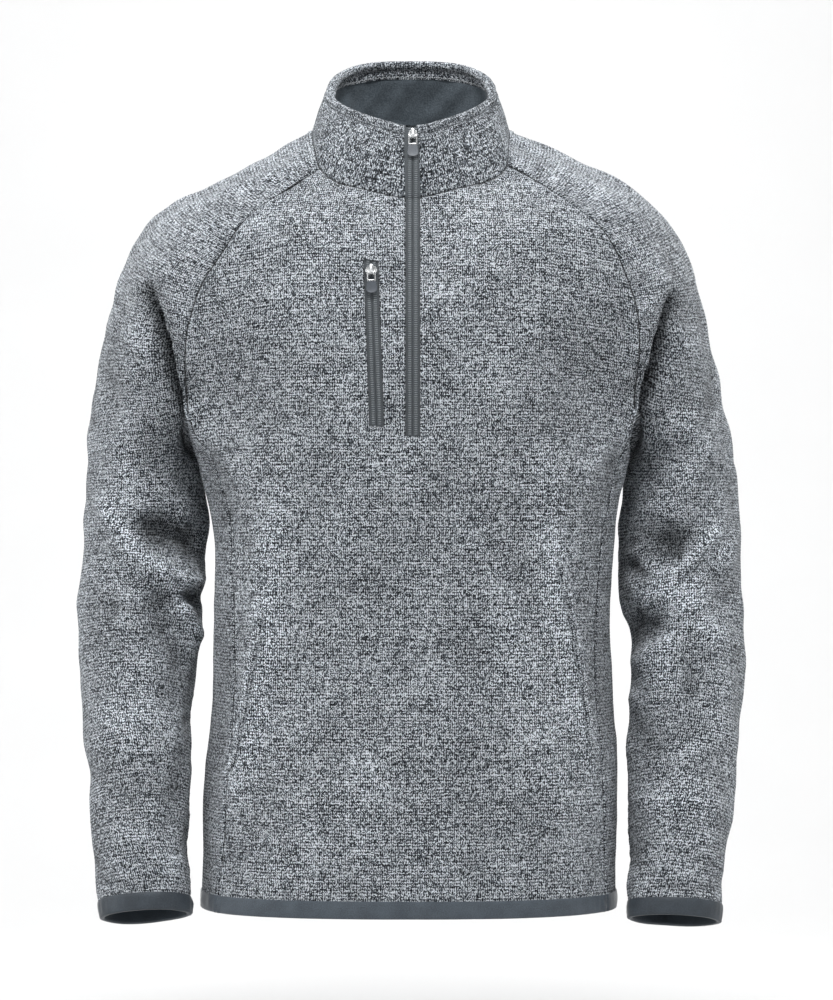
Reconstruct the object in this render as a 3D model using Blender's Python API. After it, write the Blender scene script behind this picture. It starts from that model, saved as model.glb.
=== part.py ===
"""Quarter-zip raglan pullover in knitted fleece, hollow, filled out as it is worn.

The origin is the middle of the neck, at the level where the neck seam crosses the shoulders.
+X is the wearer's left, -Y the front, +Z up. Sizes in tables are in millimetres, all others in metres.

Each piece of cloth is a wall. Its outer face is a net of points: sections of the garment (rings of the
body, rings of the sleeves, loops of the yoke from underarm to neck) are joined by smooth curves, the
net is creased by a table of folds, and the wall is then laid inside it.
"""
import math

import bmesh
import bpy
import numpy as np
from mathutils import Matrix, Vector

MM = 0.001

# ---------------------------------------------------------------- cloth and seams
CLOTH = 0.0022              # thickness of the fleece
SEAM_GAP = 0.0003           # space between two pieces that are sewn together
SECTION_ROUNDNESS = 2.5     # 2 is an ellipse, more is squarer
SLEEVE_ROUNDNESS = 2.15

# ---------------------------------------------------------------- zips
ZIP_X = 0.0033              # the centre zip lies a little to the wearer's left
SLOT = 0.0130               # width of the slot that shows each zip
ZIP_BOTTOM = -0.278         # height of the centre slot's lower end
POCKET_TOP = -0.1155
POCKET_BOTTOM = -0.2685
POCKET_X_TOP = -0.0356      # the pocket's slot leans a little towards the centre
POCKET_X_BOTTOM = -0.0300
TAPE_THICK = 0.0012
TAPE_SINK = 0.0006          # how far the tape lies below the cloth's face
TAPE_EDGE = 0.0004          # from the tape's edge to the slot's edge
TAPE_MIDDLE = 0.0002        # from the middle of the zip to each tape
TAPE_BELOW_RIM = 0.0030     # from the collar's top to the tapes' ends
GARAGE_LONG = 0.020         # the folded tape ends behind the centre slider
GARAGE_SIDE = 0.0005

# ---------------------------------------------------------------- sliders and pulls
SLIDER_HEIGHT = 0.0066      # heights at which the sliders sit
POCKET_SLIDER_HEIGHT = -0.1242
SLIDER_WIDE = 0.0108
SLIDER_LONG = 0.0100
SLIDER_FOOT = -0.0003       # outward from the cloth's face
SLIDER_TOP = 0.0024
SLIDER_BEVEL = 0.0008
SLIDER_POINTS = 12
BRIDGE_WIDE = 0.0032
BRIDGE_LONG = 0.0100
BRIDGE_TOP = 0.0057
BRIDGE_THICK = 0.0009
BRIDGE_SUNK = 0.0005
HINGE_UP = -0.0020
HINGE_OUT = 0.0036
PULL_LEAN_DEG = 6
PULL_WIDE = 0.0082
PULL_ARM = 0.0013
PULL_THICK = 0.0012
PULL_WINDOW = 0.0076
PULL_LONG = 0.0091
TIP_LONG = 0.0107
TIP_WIDE_TOP = 0.0080
TIP_WIDE = 0.0110
TIP_THICK = 0.0024
TIP_BEVEL = 0.0005

# ---------------------------------------------------------------- collar and bindings
COLLAR_THICK = 0.0024
ROLL_THICK = 0.0060         # the collar's top edge, rolled over
FACING = 0.018              # how far the face cloth turns down inside
COLLAR_BULGE = 0.002
BINDING_HIGH = 0.0144
BINDING_THICK = 0.0008

# ---------------------------------------------------------------- fineness of the nets
HEM_LEVEL = 0.28            # the first rows above hem and cuffs lie at their bindings' tops
CUFF_LEVEL = 0.54
BODY_ROWS = 17
YOKE_ROWS = 12
SLEEVE_ROWS = 19
FRONT_COLUMNS = (5, 1, 2, 1, 7)
BACK_COLUMNS = 15
UNDER_COLUMNS = 6
CAP_COLUMNS = 12
COLLAR_ROWS = 3


def table(columns, *rows):
    """Named columns of sizes in millimetres, turned to metres."""
    return {name: np.array(column, float) * MM for name, column in zip(columns.split(), zip(*rows))}


# Rings of the body, hem to chest: half widths each side, depths, and where the panel seams run.
BODY = table(
    "z    right  left   front  back  seam_right seam_left back_seam",
    (-722, 198.5, 196.0, -131, 127, 181.0, 185, 168),
    (-670, 198.0, 198.0, -130, 126, 176.0, 184, 166),
    (-615, 197.0, 199.0, -128, 122, 170.0, 182, 163),
    (-555, 192.5, 198.5, -125, 117, 167.0, 180, 160),
    (-495, 189.0, 195.0, -124, 113, 165.5, 178, 158),
    (-440, 186.8, 193.4, -125, 112, 165.5, 178, 158),
    (-390, 186.2, 195.4, -128, 114, 167.0, 181, 160),
    (-345, 191.0, 199.0, -132, 118, 173.0, 188, 166),
    (-300, 198.5, 204.5, -136, 121, 190.0, 200, 184))
WIDEST_Y = -0.008           # where a ring of the body is widest

# Loops of the yoke, underarm to neck. A row of each table belongs to one loop.
CENTRE = table(
    "front_y front_z back_y back_z front_swell front_drop back_swell",
    (-137, -262, 122, -255, -26, 0, 10),
    (-137, -212, 127, -202, -14, 0, 8),
    (-133, -168, 129, -150, -11, -1, 7),
    (-125, -131, 127, -100, -9, -2, 6),
    (-115, -101, 118, -54, -7, -4, 7),
    (-104, -76, 100, -9, -7, -6, 7),
    (-93, -53, 78, 32, -9, -7, 6))
FRONT_SEAM_RIGHT = table(
    "x y z", (-207, -65, -253), (-207, -94, -177), (-193, -103, -134), (-175, -102, -105),
    (-152, -95, -72.5), (-120, -78, -47.5), (-84.5, -55, -22))
FRONT_SEAM_LEFT = table(
    "x y z", (211.5, -65, -249), (212.5, -97, -160), (200, -103, -120), (182.5, -102, -86),
    (156.5, -95, -62), (127.5, -78, -41), (92, -55, -19.5))
CROWN_RIGHT = table(
    "x y z", (-309.5, 30, -262), (-287, 30, -150), (-264.5, 28, -86.5), (-235.5, 26, -55.5),
    (-192.5, 22, -32.5), (-144, 18, -9), (-93, 15, 20.5))
CROWN_LEFT = table(
    "x y z", (306.5, 30, -262), (282, 30, -153), (262.5, 28, -88.5), (237.5, 26, -54.5),
    (196.5, 22, -25), (148, 18, -3), (95.5, 15, 20))
BACK_SEAM = table(
    "x y z", (198, 90, -238), (199, 106, -152), (188, 110, -96), (169, 107, -56),
    (141, 99, -20), (108, 83, 8), (73, 62, 30))

# The seam under the arm, front to back, between the armpit's two ends.
UNDERARM = table("x y z", (206, -24, -270), (203.5, 22, -276), (200, 62, -264))

# Rings of the sleeves, cuff to underarm.
SLEEVE_RIGHT = table(
    "x y z half_width half_depth",
    (-249.8, -63, -727, 42.0, 31),
    (-251.5, -54, -700, 43.5, 36),
    (-255.5, -42, -660, 45.5, 43),
    (-256.6, -26, -612, 47.5, 49),
    (-260.8, -6, -547, 52.3, 54),
    (-261.0, 12, -481, 57.0, 58),
    (-258.5, 25, -411, 59.5, 64),
    (-254.5, 30, -345, 59.0, 69),
    (-257.0, 30, -300, 54.5, 71))
SLEEVE_LEFT = table(
    "x y z half_width half_depth",
    (250.8, -60, -731, 43.5, 31),
    (252.0, -52, -704, 44.0, 36),
    (255.0, -42, -664, 46.5, 43),
    (258.3, -26, -612, 51.0, 49),
    (263.6, -6, -547, 53.7, 54),
    (268.5, 12, -481, 54.0, 58),
    (262.0, 25, -418, 59.5, 63),
    (261.5, 30, -345, 57.5, 69),
    (261.0, 30, -300, 52.5, 71))
# Directions from a sleeve's middle: 0 is towards the body, 90 the front, 180 away from the body.
RING_ANGLES = (50, 93, 137, 180, 223, 267, 310, 335, 0, 25)

# The collar's upper edge: an oval, squarer behind and pointed in front, that climbs to the back.
RIM = {"right": 0.0772, "left": 0.0805, "front": -0.0760, "back": 0.0750,
       "front_z": 0.0175, "back_z": 0.0942, "square_front": 1.42, "square_back": 2.9}
RIM_SLOT_RIGHT = 0.0078     # the slot opens out at the collar's top, more on the wearer's left
RIM_SLOT_LEFT = 0.0125

# Folds, each a bend through three places as seen from the front or the back. One with a height
# below 0 is a trough. A zone is the body, the arms, or both where a fold crosses the armhole seam.
FRONT, BACK = -1, 1
FOLD_COLUMNS = "x0 z0 x1 z1 x2 z2 height width"
FOLDS = (
    ("body", FRONT, table(
        FOLD_COLUMNS,
        (-116, -317, -137, -447, -168, -642, 5, 17),        # swell down to the right hand pocket
        (126, -271, 146, -440, 176, -605, 4, 17),           # the same on the left
        (84, -392, 107, -503, 153, -670, 2.5, 19),
        (-194, -280, -180, -327, -163, -392, -4, 15),       # hollow below the right armpit
        (196, -285, 186, -335, 176, -400, -3, 14),
        (178, -447, 184, -521, 186, -600, -3, 13),
        (-163, -470, -178, -560, -186, -640, -2.5, 12),
        (-60, -560, -40, -620, -52, -690, 2, 20),
        (40, -590, 62, -640, 58, -700, -2, 18))),
    ("both", FRONT, table(
        FOLD_COLUMNS,
        (-251, -130, -227, -180, -207, -250, -9, 13),       # creases from the armpits
        (249, -138, 228, -198, 211, -250, -9, 13),
        (-226, -135, -216, -176, -206, -226, 3, 12),
        (226, -140, 219, -180, 209, -228, 3, 12))),
    ("both", BACK, table(
        FOLD_COLUMNS,
        (-236, -138, -222, -184, -200, -238, -7, 14),
        (238, -150, 220, -190, 200, -238, -7, 13))),
    ("arms", FRONT, table(
        FOLD_COLUMNS,
        (-267, -146, -247, -203, -224, -275, 4, 17),        # swells beside the armpit creases
        (266, -165, 249, -222, 230, -280, 4, 17),
        (-285, -260, -271, -307, -257, -355, 3, 19),
        (277, -241, 267, -288, 258, -336, 3, 19),
        (-250, -352, -225, -372, -199, -382, -7, 18),       # right elbow: hollow, ridge, hollow
        (-301, -330, -247, -399, -193, -412, 8, 14),
        (-247, -433, -219, -429, -194, -427, -5, 10),
        (-281, -455, -262, -436, -245, -420, 3, 12),
        (-228, -427, -213, -452, -199, -486, 5, 10),
        (-238, -446, -226, -469, -213, -498, -3, 12),
        (-312, -431, -295, -441, -276, -446, -3, 12),
        (-300, -525, -257, -546, -211, -531, 2.5, 16),
        (-303, -583, -257, -612, -208, -598, -2.5, 16),
        (212, -358, 243, -374, 279, -369, -6, 18),          # left elbow: hollow, crossing ridges
        (314, -360, 267, -436, 216, -500, 7, 14),
        (199, -422, 258, -436, 312, -482, 5, 14),
        (208, -470, 229, -465, 250, -455, -5, 12),
        (277, -393, 291, -412, 316, -422, -4, 13),
        (267, -464, 268, -496, 266, -530, -3, 15),
        (204, -529, 229, -518, 258, -493, 4, 13),
        (208, -553, 239, -557, 268, -548, -3, 13),
        (216, -602, 258, -622, 303, -608, 2.5, 16))),
    ("body", BACK, table(
        FOLD_COLUMNS,
        (-62, -110, -78, -300, -70, -520, 3, 26),
        (72, -128, 92, -320, 82, -560, 3, 25),
        (3, -150, -6, -300, 4, -452, -3, 30),
        (-172, -255, -137, -322, -90, -398, 4, 17),
        (170, -262, 131, -335, 96, -404, 4, 18),
        (-152, -478, -100, -503, -42, -490, -3, 18),
        (150, -502, 104, -528, 48, -514, -3, 17),
        (-128, -560, -112, -630, -122, -700, 3, 20),
        (118, -585, 132, -640, 120, -705, 3, 20))),
    ("arms", BACK, table(
        FOLD_COLUMNS,
        (-306, -372, -265, -396, -222, -390, 4, 16),
        (-308, -424, -264, -440, -212, -428, -4, 14),
        (-304, -476, -262, -496, -214, -482, 3.5, 15),
        (-226, -300, -246, -330, -278, -350, 3, 17),
        (-300, -560, -258, -575, -212, -566, -2.5, 15),
        (304, -384, 264, -403, 222, -398, 4, 16),
        (310, -436, 266, -452, 214, -438, -4, 14),
        (308, -488, 268, -506, 218, -494, 3.5, 15),
        (228, -306, 250, -338, 280, -356, 3, 17),
        (304, -578, 262, -590, 212, -580, -2.5, 15))))


# ---------------------------------------------------------------- curves and nets
def spline(knots, values, where):
    """Smooth curve through values at knots, read at where."""
    step = np.diff(knots)
    tall = (-1,) + (1,) * (values.ndim - 1)
    slope = np.diff(values, axis=0) / step.reshape(tall)
    count = len(knots)
    system = np.eye(count)
    load = np.zeros_like(values)
    for i in range(1, count - 1):
        system[i, i - 1:i + 2] = step[i - 1], 2 * (step[i - 1] + step[i]), step[i]
        load[i] = 6 * (slope[i] - slope[i - 1])
    bend = np.linalg.solve(system, load.reshape(count, -1)).reshape(values.shape)
    span = np.clip(np.searchsorted(knots, where, side="right") - 1, 0, count - 2)
    high = ((where - knots[span]) / step[span]).reshape(tall)
    low = 1 - high
    curl = (low ** 3 - low) * bend[span] + (high ** 3 - high) * bend[span + 1]
    return low * values[span] + high * values[span + 1] + curl * (step[span] ** 2 / 6).reshape(tall)


def curve(points, places):
    """Smooth curve through points, or through rows of points, read at places counted in points."""
    points = np.asarray(points, float)
    gaps = np.linalg.norm(np.diff(points, axis=0), axis=-1).reshape(len(points) - 1, -1).mean(axis=1)
    knots = np.concatenate(([0.0], np.cumsum(gaps)))
    return spline(knots, points, np.interp(places, np.arange(len(points)), knots))


def loop_curve(loop, middle, places):
    """Reads a closed loop of stations at places counted from the station called middle."""
    count = len(loop)
    opened = loop[(middle - count // 2 + np.arange(count + 1)) % count]
    return curve(opened, count // 2 + np.asarray(places, float))


def at_x(loop, middle, x):
    """The place, counted from the middle station, where a loop passes x."""
    places = np.linspace(-1.9, 1.9, 153)
    return float(np.interp(x, loop_curve(loop, middle, places)[:, 0], places))


# ---------------------------------------------------------------- sections
def body_loop(row):
    """Twelve stations round one ring of the body, from centre front towards the wearer's left."""
    z = BODY["z"][row]

    def station(x, half_width, depth):
        reach = 1 - min(abs(x) / half_width, 1) ** SECTION_ROUNDNESS
        return x, WIDEST_Y + (depth - WIDEST_Y) * reach ** (1 / SECTION_ROUNDNESS), z

    front, back = BODY["front"][row], BODY["back"][row]
    loop = {}
    for side, sign in (("left", 1), ("right", -1)):
        half = BODY[side][row]
        seam, back_seam = BODY["seam_" + side][row], BODY["back_seam"][row]
        loop[side] = [station(sign * seam / 2, half, front), station(sign * seam, half, front),
                      (sign * half, WIDEST_Y, z),
                      station(sign * back_seam, half, back), station(sign * back_seam / 2, half, back)]
    return np.array([(0, front, z), *loop["left"], (0, back, z), *loop["right"][::-1]])


def rows_of(sizes):
    return np.column_stack((sizes["x"], sizes["y"], sizes["z"]))


def cap_arc(seam, crown):
    """Two stations that round the shoulder between a raglan seam and the crown."""
    corner = np.array((seam[0], crown[1], (seam[2] + crown[2]) / 2))
    arc = []
    for turn in (math.radians(30), math.radians(60)):
        across, along = math.cos(turn) ** (2 / SLEEVE_ROUNDNESS), math.sin(turn) ** (2 / SLEEVE_ROUNDNESS)
        arc.append(corner + (seam - corner) * across + (crown - corner) * along)
    return arc


def yoke_loop(row):
    """Twenty stations round one loop of the yoke, from centre front towards the wearer's left."""
    front = np.array((0, CENTRE["front_y"][row], CENTRE["front_z"][row]))
    back = np.array((0, CENTRE["back_y"][row], CENTRE["back_z"][row]))
    loop = {}
    for side, sign in (("left", 1), ("right", -1)):
        seam = rows_of(FRONT_SEAM_LEFT if sign > 0 else FRONT_SEAM_RIGHT)[row]
        crown = rows_of(CROWN_LEFT if sign > 0 else CROWN_RIGHT)[row]
        back_seam = rows_of(BACK_SEAM)[row] * (sign, 1, 1)
        front_middle = (front + seam) / 2 + (0, CENTRE["front_swell"][row], CENTRE["front_drop"][row])
        back_middle = (back + back_seam) / 2 + (0, CENTRE["back_swell"][row], 0)
        loop[side] = [front_middle, seam, *cap_arc(seam, crown), crown,
                      *cap_arc(back_seam, crown)[::-1], back_seam, back_middle]
    return np.array([front, *loop["left"], back, *loop["right"][::-1]])


def sleeve_ring(sizes, row, sign):
    """Ten stations round one ring of a sleeve, front armpit first, square to the sleeve's line."""
    middles = rows_of(sizes)
    line = middles[min(row + 1, len(middles) - 1)] - middles[max(row - 1, 0)]
    line /= np.linalg.norm(line)
    ring = []
    for angle in RING_ANGLES:
        turn = math.radians(angle)
        reach = (-sign * sizes["half_width"][row] * math.cos(turn),
                 -sizes["half_depth"][row] * math.sin(turn))
        lift = -(reach[0] * line[0] + reach[1] * line[1]) / line[2]
        out = np.array((*reach, lift))
        ring.append(middles[row] + out * math.hypot(*reach) / np.linalg.norm(out))
    return np.array(ring)


def underarm_line(sign, places):
    """The seam under an arm, read at places from 0, the armpit's front end, to 4, its back end."""
    seam = rows_of(FRONT_SEAM_LEFT if sign > 0 else FRONT_SEAM_RIGHT)[0]
    stations = [seam, *(rows_of(UNDERARM) * (sign, 1, 1)), rows_of(BACK_SEAM)[0] * (sign, 1, 1)]
    return curve(stations, places)


# ---------------------------------------------------------------- nets of the panels
def spread(*stretches):
    """Places along keys, each stretch given as (from, to, count)."""
    return np.concatenate([np.linspace(a, b, n, endpoint=False) for a, b, n in stretches]
                          + [[stretches[-1][1]]])


def pocket_x(z):
    share = (z - POCKET_TOP) / (POCKET_BOTTOM - POCKET_TOP)
    return POCKET_X_TOP + (POCKET_X_BOTTOM - POCKET_X_TOP) * min(max(share, 0), 1)


def front_places(loop):
    """Columns of the front panel on one loop, with one on each edge of both slots."""
    keys = [-2.0]
    middle = pocket_x(loop[0][2])
    keys += [at_x(loop, 0, middle - SLOT / 2), at_x(loop, 0, middle + SLOT / 2)]
    keys += [at_x(loop, 0, ZIP_X - SLOT / 2), at_x(loop, 0, ZIP_X + SLOT / 2), 2.0]
    return spread(*zip(keys[:-1], keys[1:], FRONT_COLUMNS))


def fit_edge(net, edge, at_start):
    """Moves one edge column of a net to a seam line, and its neighbours by less and less."""
    columns = net.shape[1]
    away = np.arange(columns) / (columns - 1)
    away = away if at_start else 1 - away
    share = np.clip(1 - 2.5 * away, 0, 1) ** 2
    gap = edge - net[:, 0 if at_start else -1]
    return net + gap[:, None, :] * share[None, :, None]


def with_keys(levels, keys):
    """Adds key levels and drops the plain ones that crowd them, but not the first or last."""
    keep = [level for level in levels[1:-1] if min(abs(level - key) for key in keys) > 0.25]
    return np.array(sorted([levels[0], *keep, *keys, levels[-1]]))


def build_nets():
    """The outer faces of all panels, before folds, as nets of rows by columns by x, y, z."""
    body = [body_loop(row) for row in range(len(BODY["z"]))]
    yoke = [yoke_loop(row) for row in range(len(CENTRE["front_z"]))]
    top = len(body)
    heights = [ring[0][2] for ring in body + yoke]
    zip_end, pocket_low, pocket_high = np.interp(
        (ZIP_BOTTOM, POCKET_BOTTOM, POCKET_TOP), heights, np.arange(len(heights)))
    body_levels = with_keys(spread((0, HEM_LEVEL, 1), (HEM_LEVEL, top, BODY_ROWS)),
                            (HEM_LEVEL, zip_end, pocket_low))
    yoke_levels = with_keys(spread((top, top + len(yoke) - 1, YOKE_ROWS)), (pocket_high,))
    levels = np.concatenate((body_levels, yoke_levels[1:]))
    under_row = len(body_levels) - 1

    nets = {}
    lines = [loop_curve(ring, 0, front_places(ring)) for ring in body + yoke]
    nets["front_panel"] = curve(lines, levels)
    back = np.linspace(-2, 2, BACK_COLUMNS + 1)
    lines = [loop_curve(ring, len(ring) // 2, back) for ring in body + yoke]
    nets["back_panel"] = curve(lines, levels)

    for side, sign, sizes in (("left", 1, SLEEVE_LEFT), ("right", -1, SLEEVE_RIGHT)):
        front, rear = nets["front_panel"], nets["back_panel"]
        front_edge = front[:, -1 if sign > 0 else 0]
        back_edge = rear[:, 0 if sign > 0 else -1]
        under = np.linspace(0, 4, UNDER_COLUMNS + 1)
        arm_seam = underarm_line(sign, under)

        # the side panel runs from the front seam round to the back seam
        middle = 3 if sign > 0 else 9
        lines = [loop_curve(ring, middle, sign * (under / 2 - 1)) for ring in body]
        panel = curve(lines + [arm_seam], body_levels)
        panel = fit_edge(panel, front_edge[:under_row + 1], True)
        panel = fit_edge(panel, back_edge[:under_row + 1], False)
        panel[-1] = arm_seam
        nets[side + "_side_panel"] = panel if sign > 0 else panel[:, ::-1]

        # the sleeve is a tube up to the underarm and an open cap above it
        rings = [sleeve_ring(sizes, row, sign) for row in range(len(sizes["z"]))]
        cap_places = np.linspace(-3, 3, CAP_COLUMNS + 1)
        crown = 5 if sign > 0 else 15
        lines = [loop_curve(ring, 3, cap_places) for ring in rings]
        lines += [loop_curve(ring, crown, sign * cap_places) for ring in yoke]
        sleeve_levels = spread((0, CUFF_LEVEL, 1), (CUFF_LEVEL, len(rings), SLEEVE_ROWS))
        arm_row = len(sleeve_levels) - 1
        cap_levels = np.concatenate((sleeve_levels, yoke_levels[1:] - top + len(rings)))
        cap = curve(lines, cap_levels)
        upper = cap[arm_row:]
        upper = fit_edge(upper, front_edge[under_row:], True)
        upper = fit_edge(upper, back_edge[under_row:], False)
        lines = [loop_curve(ring, 8, 2 - under) for ring in rings]
        inner = curve(lines + [arm_seam], sleeve_levels)
        inner = fit_edge(inner, cap[:arm_row + 1, 0], True)
        inner = fit_edge(inner, cap[:arm_row + 1, -1], False)
        inner[-1] = arm_seam
        tube = np.concatenate((cap[:arm_row + 1], inner[:, ::-1][:, 1:-1]), axis=1)
        nets[side + "_sleeve_tube"] = tube if sign > 0 else tube[:, ::-1]
        nets[side + "_sleeve_cap"] = upper if sign > 0 else upper[:, ::-1]
    return nets


def collar_net(base):
    """The collar's outer face, from the neck seam up to its rolled edge, round from slot to slot."""
    middle = np.array(((RIM["left"] - RIM["right"]) / 2, 0))
    rim = []
    for place, point in enumerate(base):
        turn = math.atan2(point[1] / 0.085, (point[0] - middle[0]) / 0.094)
        half = RIM["left"] if math.cos(turn) > 0 else RIM["right"]
        behind = math.sin(turn) > 0
        depth = RIM["back"] if behind else -RIM["front"]
        power = 2 / RIM["square_back" if behind else "square_front"]
        x = math.copysign(half * abs(math.cos(turn)) ** power, math.cos(turn))
        y = math.copysign(depth * abs(math.sin(turn)) ** power, math.sin(turn))
        x += ZIP_X * max(0, -math.sin(turn)) ** 3
        rim.append((x, y))
    rim = np.array(rim)
    opening = np.array((ZIP_X + RIM_SLOT_LEFT, ZIP_X - RIM_SLOT_RIGHT))
    for end, x, step in ((0, opening[0], 1), (-1, opening[1], -1)):
        for k in range(3):
            here = end + step * k
            rim[here, 0] += (x - rim[end, 0]) * (1 - k / 3) if k else 0
        rim[end, 0] = x
    climb = (rim[:, 1] - RIM["front"]) / (RIM["back"] - RIM["front"])
    height = RIM["front_z"] + (RIM["back_z"] - RIM["front_z"]) * climb
    rim = np.column_stack((rim, height))
    out = np.column_stack((rim[:, :2], np.zeros(len(rim))))
    out /= np.linalg.norm(out, axis=1)[:, None]
    shares = np.linspace(0, 1, COLLAR_ROWS + 1)
    return np.array([base * (1 - share) + rim * share + out * COLLAR_BULGE * math.sin(math.pi * share)
                     for share in shares])


# ---------------------------------------------------------------- one cloth from many nets
def weld(nets):
    """Joins the nets at their shared edges: one array of points, and each net as numbers into it."""
    points, seen, numbered = [], {}, {}
    for name, net in nets.items():
        numbers = []
        for point in net.reshape(-1, 3):
            key = tuple(np.round(point, 6))
            if key not in seen:
                seen[key] = len(points)
                points.append(point)
            numbers.append(seen[key])
        numbered[name] = np.array(numbers).reshape(net.shape[:2])
    return np.array(points), numbered


def quads_of(numbers, closed=False):
    """The four-sided faces of a net, each with its corners in outward order."""
    if closed:
        numbers = np.concatenate((numbers, numbers[:, :1]), axis=1)
    return np.stack((numbers[:-1, :-1], numbers[:-1, 1:], numbers[1:, 1:], numbers[1:, :-1]), axis=-1)


def point_normals(points, quads):
    """Outward directions at the points, shared by all panels that meet there."""
    across = points[quads[:, 2]] - points[quads[:, 0]]
    along = points[quads[:, 3]] - points[quads[:, 1]]
    faces = np.cross(across, along)
    normals = np.zeros_like(points)
    for corner in range(4):
        np.add.at(normals, quads[:, corner], faces)
    return normals / np.linalg.norm(normals, axis=1)[:, None]


def fold_heights(points, normals, side, folds):
    """How far each point is lifted by the folds that show from one side."""
    facing = np.clip((side * normals[:, 1] + 0.4) / 0.8, 0, 1)
    facing = facing ** 2 * (3 - 2 * facing)
    flat = points[:, ::2]
    lift = np.zeros(len(points))
    steps = np.linspace(0, 1, 13)
    for row in range(len(folds["height"])):
        start, middle, end = (np.array((folds[f"x{i}"][row], folds[f"z{i}"][row])) for i in range(3))
        line = (np.outer((1 - steps) * (1 - 2 * steps), start) + np.outer(4 * steps * (1 - steps), middle)
                + np.outer(steps * (2 * steps - 1), end))
        nearest = np.full(len(points), 1e9)
        place = np.zeros(len(points))
        for k in range(len(line) - 1):
            run = line[k + 1] - line[k]
            share = np.clip((flat - line[k]) @ run / (run @ run), 0, 1)
            away = np.linalg.norm(flat - line[k] - share[:, None] * run, axis=1)
            closer = away < nearest
            nearest[closer] = away[closer]
            place[closer] = ((k + share) / (len(line) - 1))[closer]
        fade = 1 - (2 * place - 1) ** 4
        lift += folds["height"][row] * fade * np.exp(-(nearest / folds["width"][row]) ** 2)
    return lift * facing


class Cloth:
    """The whole garment's outer face as one welded net, creased, and cut into its panels."""

    def __init__(self):
        nets = build_nets()
        front = nets["front_panel"]
        edge = np.cumsum(FRONT_COLUMNS)
        self.pocket_columns, self.zip_columns = (edge[0], edge[1]), (edge[2], edge[3])
        neck = np.concatenate((front[-1, edge[3]:], nets["left_sleeve_cap"][-1, 1:],
                               nets["back_panel"][-1, 1:], nets["right_sleeve_cap"][-1, 1:],
                               front[-1, 1:edge[2] + 1]))
        nets["collar"] = collar_net(neck)
        heights = front[:, len(front[0]) // 2, 2]
        self.slot_rows = {name: int(np.argmin(np.abs(heights - height))) for name, height in (
            ("zip", ZIP_BOTTOM), ("low", POCKET_BOTTOM), ("high", POCKET_TOP))}
        self.points, self.nets = weld(nets)
        self.faces = {name: quads_of(net, name.endswith("tube")) for name, net in self.nets.items()}
        self.crease()

    def all_quads(self):
        return np.concatenate([faces.reshape(-1, 4) for faces in self.faces.values()])

    def refresh_normals(self):
        """Outward directions; along the seams under the arms the cloth turns back on itself, so down."""
        self.normals = point_normals(self.points, self.all_quads())
        for side in ("left", "right"):
            under = self.nets[side + "_side_panel"][-1, 1:-1]
            self.normals[under] = self.normals[under] * 0.2 + (0, 0, -1)
            self.normals[under] /= np.linalg.norm(self.normals[under], axis=1)[:, None]

    def crease(self):
        """Lifts and sinks the cloth by the table of folds."""
        self.refresh_normals()
        lift = np.zeros(len(self.points))
        arms = np.zeros(len(self.points), bool)
        for side in ("left", "right"):
            arms[self.nets[side + "_sleeve_tube"]] = True
            arms[self.nets[side + "_sleeve_cap"]] = True
        for zone, side, folds in FOLDS:
            heights = fold_heights(self.points, self.normals, side, folds)
            where = {"body": ~arms, "arms": arms, "both": np.ones(len(arms), bool)}[zone]
            lift[where] += heights[where]
        lift[self.nets["collar"]] = 0
        self.points = self.points + self.normals * lift[:, None]
        self.refresh_normals()

    def panel_faces(self, name):
        """The faces of one piece of cloth, with the slots left open in the front."""
        if name.endswith("sleeve"):
            return np.concatenate([self.faces[name + part].reshape(-1, 4) for part in ("_tube", "_cap")])
        faces = self.faces[name]
        if name != "front_panel":
            return faces.reshape(-1, 4)
        keep = np.ones(faces.shape[:2], bool)
        keep[self.slot_rows["zip"]:, self.zip_columns[0]:self.zip_columns[1]] = False
        low, high = self.slot_rows["low"], self.slot_rows["high"]
        keep[low:high, self.pocket_columns[0]:self.pocket_columns[1]] = False
        return faces[keep]


# ---------------------------------------------------------------- solids
def material(name, colour, roughness, metallic=0.0):
    """A plain finish. The colour is linear red, green and blue."""
    finish = bpy.data.materials.new(name)
    finish.use_nodes = True
    shader = finish.node_tree.nodes["Principled BSDF"]
    shader.inputs["Base Color"].default_value = (*colour, 1)
    shader.inputs["Roughness"].default_value = roughness
    shader.inputs["Metallic"].default_value = metallic
    return finish


def add_object(name, points, faces, finish, sharp_deg=40):
    """A named object with its faces turned outward, smooth but for its sharp edges."""
    mesh = bpy.data.meshes.new(name)
    mesh.from_pydata([tuple(point) for point in points], [],
                     [tuple(int(i) for i in face) for face in faces])
    shape = bmesh.new()
    shape.from_mesh(mesh)
    bmesh.ops.recalc_face_normals(shape, faces=shape.faces)
    shape.to_mesh(mesh)
    shape.free()
    mesh.shade_smooth()
    mesh.set_sharp_from_angle(angle=math.radians(sharp_deg))
    mesh.materials.append(finish)
    thing = bpy.data.objects.new(name, mesh)
    bpy.context.scene.collection.objects.link(thing)
    return thing


def halves(points, quads):
    """Each four-sided face cut along its shorter diagonal, so that faces that lie close match."""
    corners = points[quads]
    turned = (np.linalg.norm(corners[:, 0] - corners[:, 2], axis=1)
              > np.linalg.norm(corners[:, 1] - corners[:, 3], axis=1))
    quads = np.where(turned[:, None], np.roll(quads, -1, axis=1), quads)
    return np.concatenate((quads[:, (0, 1, 2)], quads[:, (0, 2, 3)]))


def outline_of(quads):
    """The open edges of some faces, each in the direction of its face."""
    edges = {(int(face[k]), int(face[(k + 1) % 4])) for face in quads for k in range(4)}
    return [edge for edge in edges if edge[::-1] not in edges]


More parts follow.
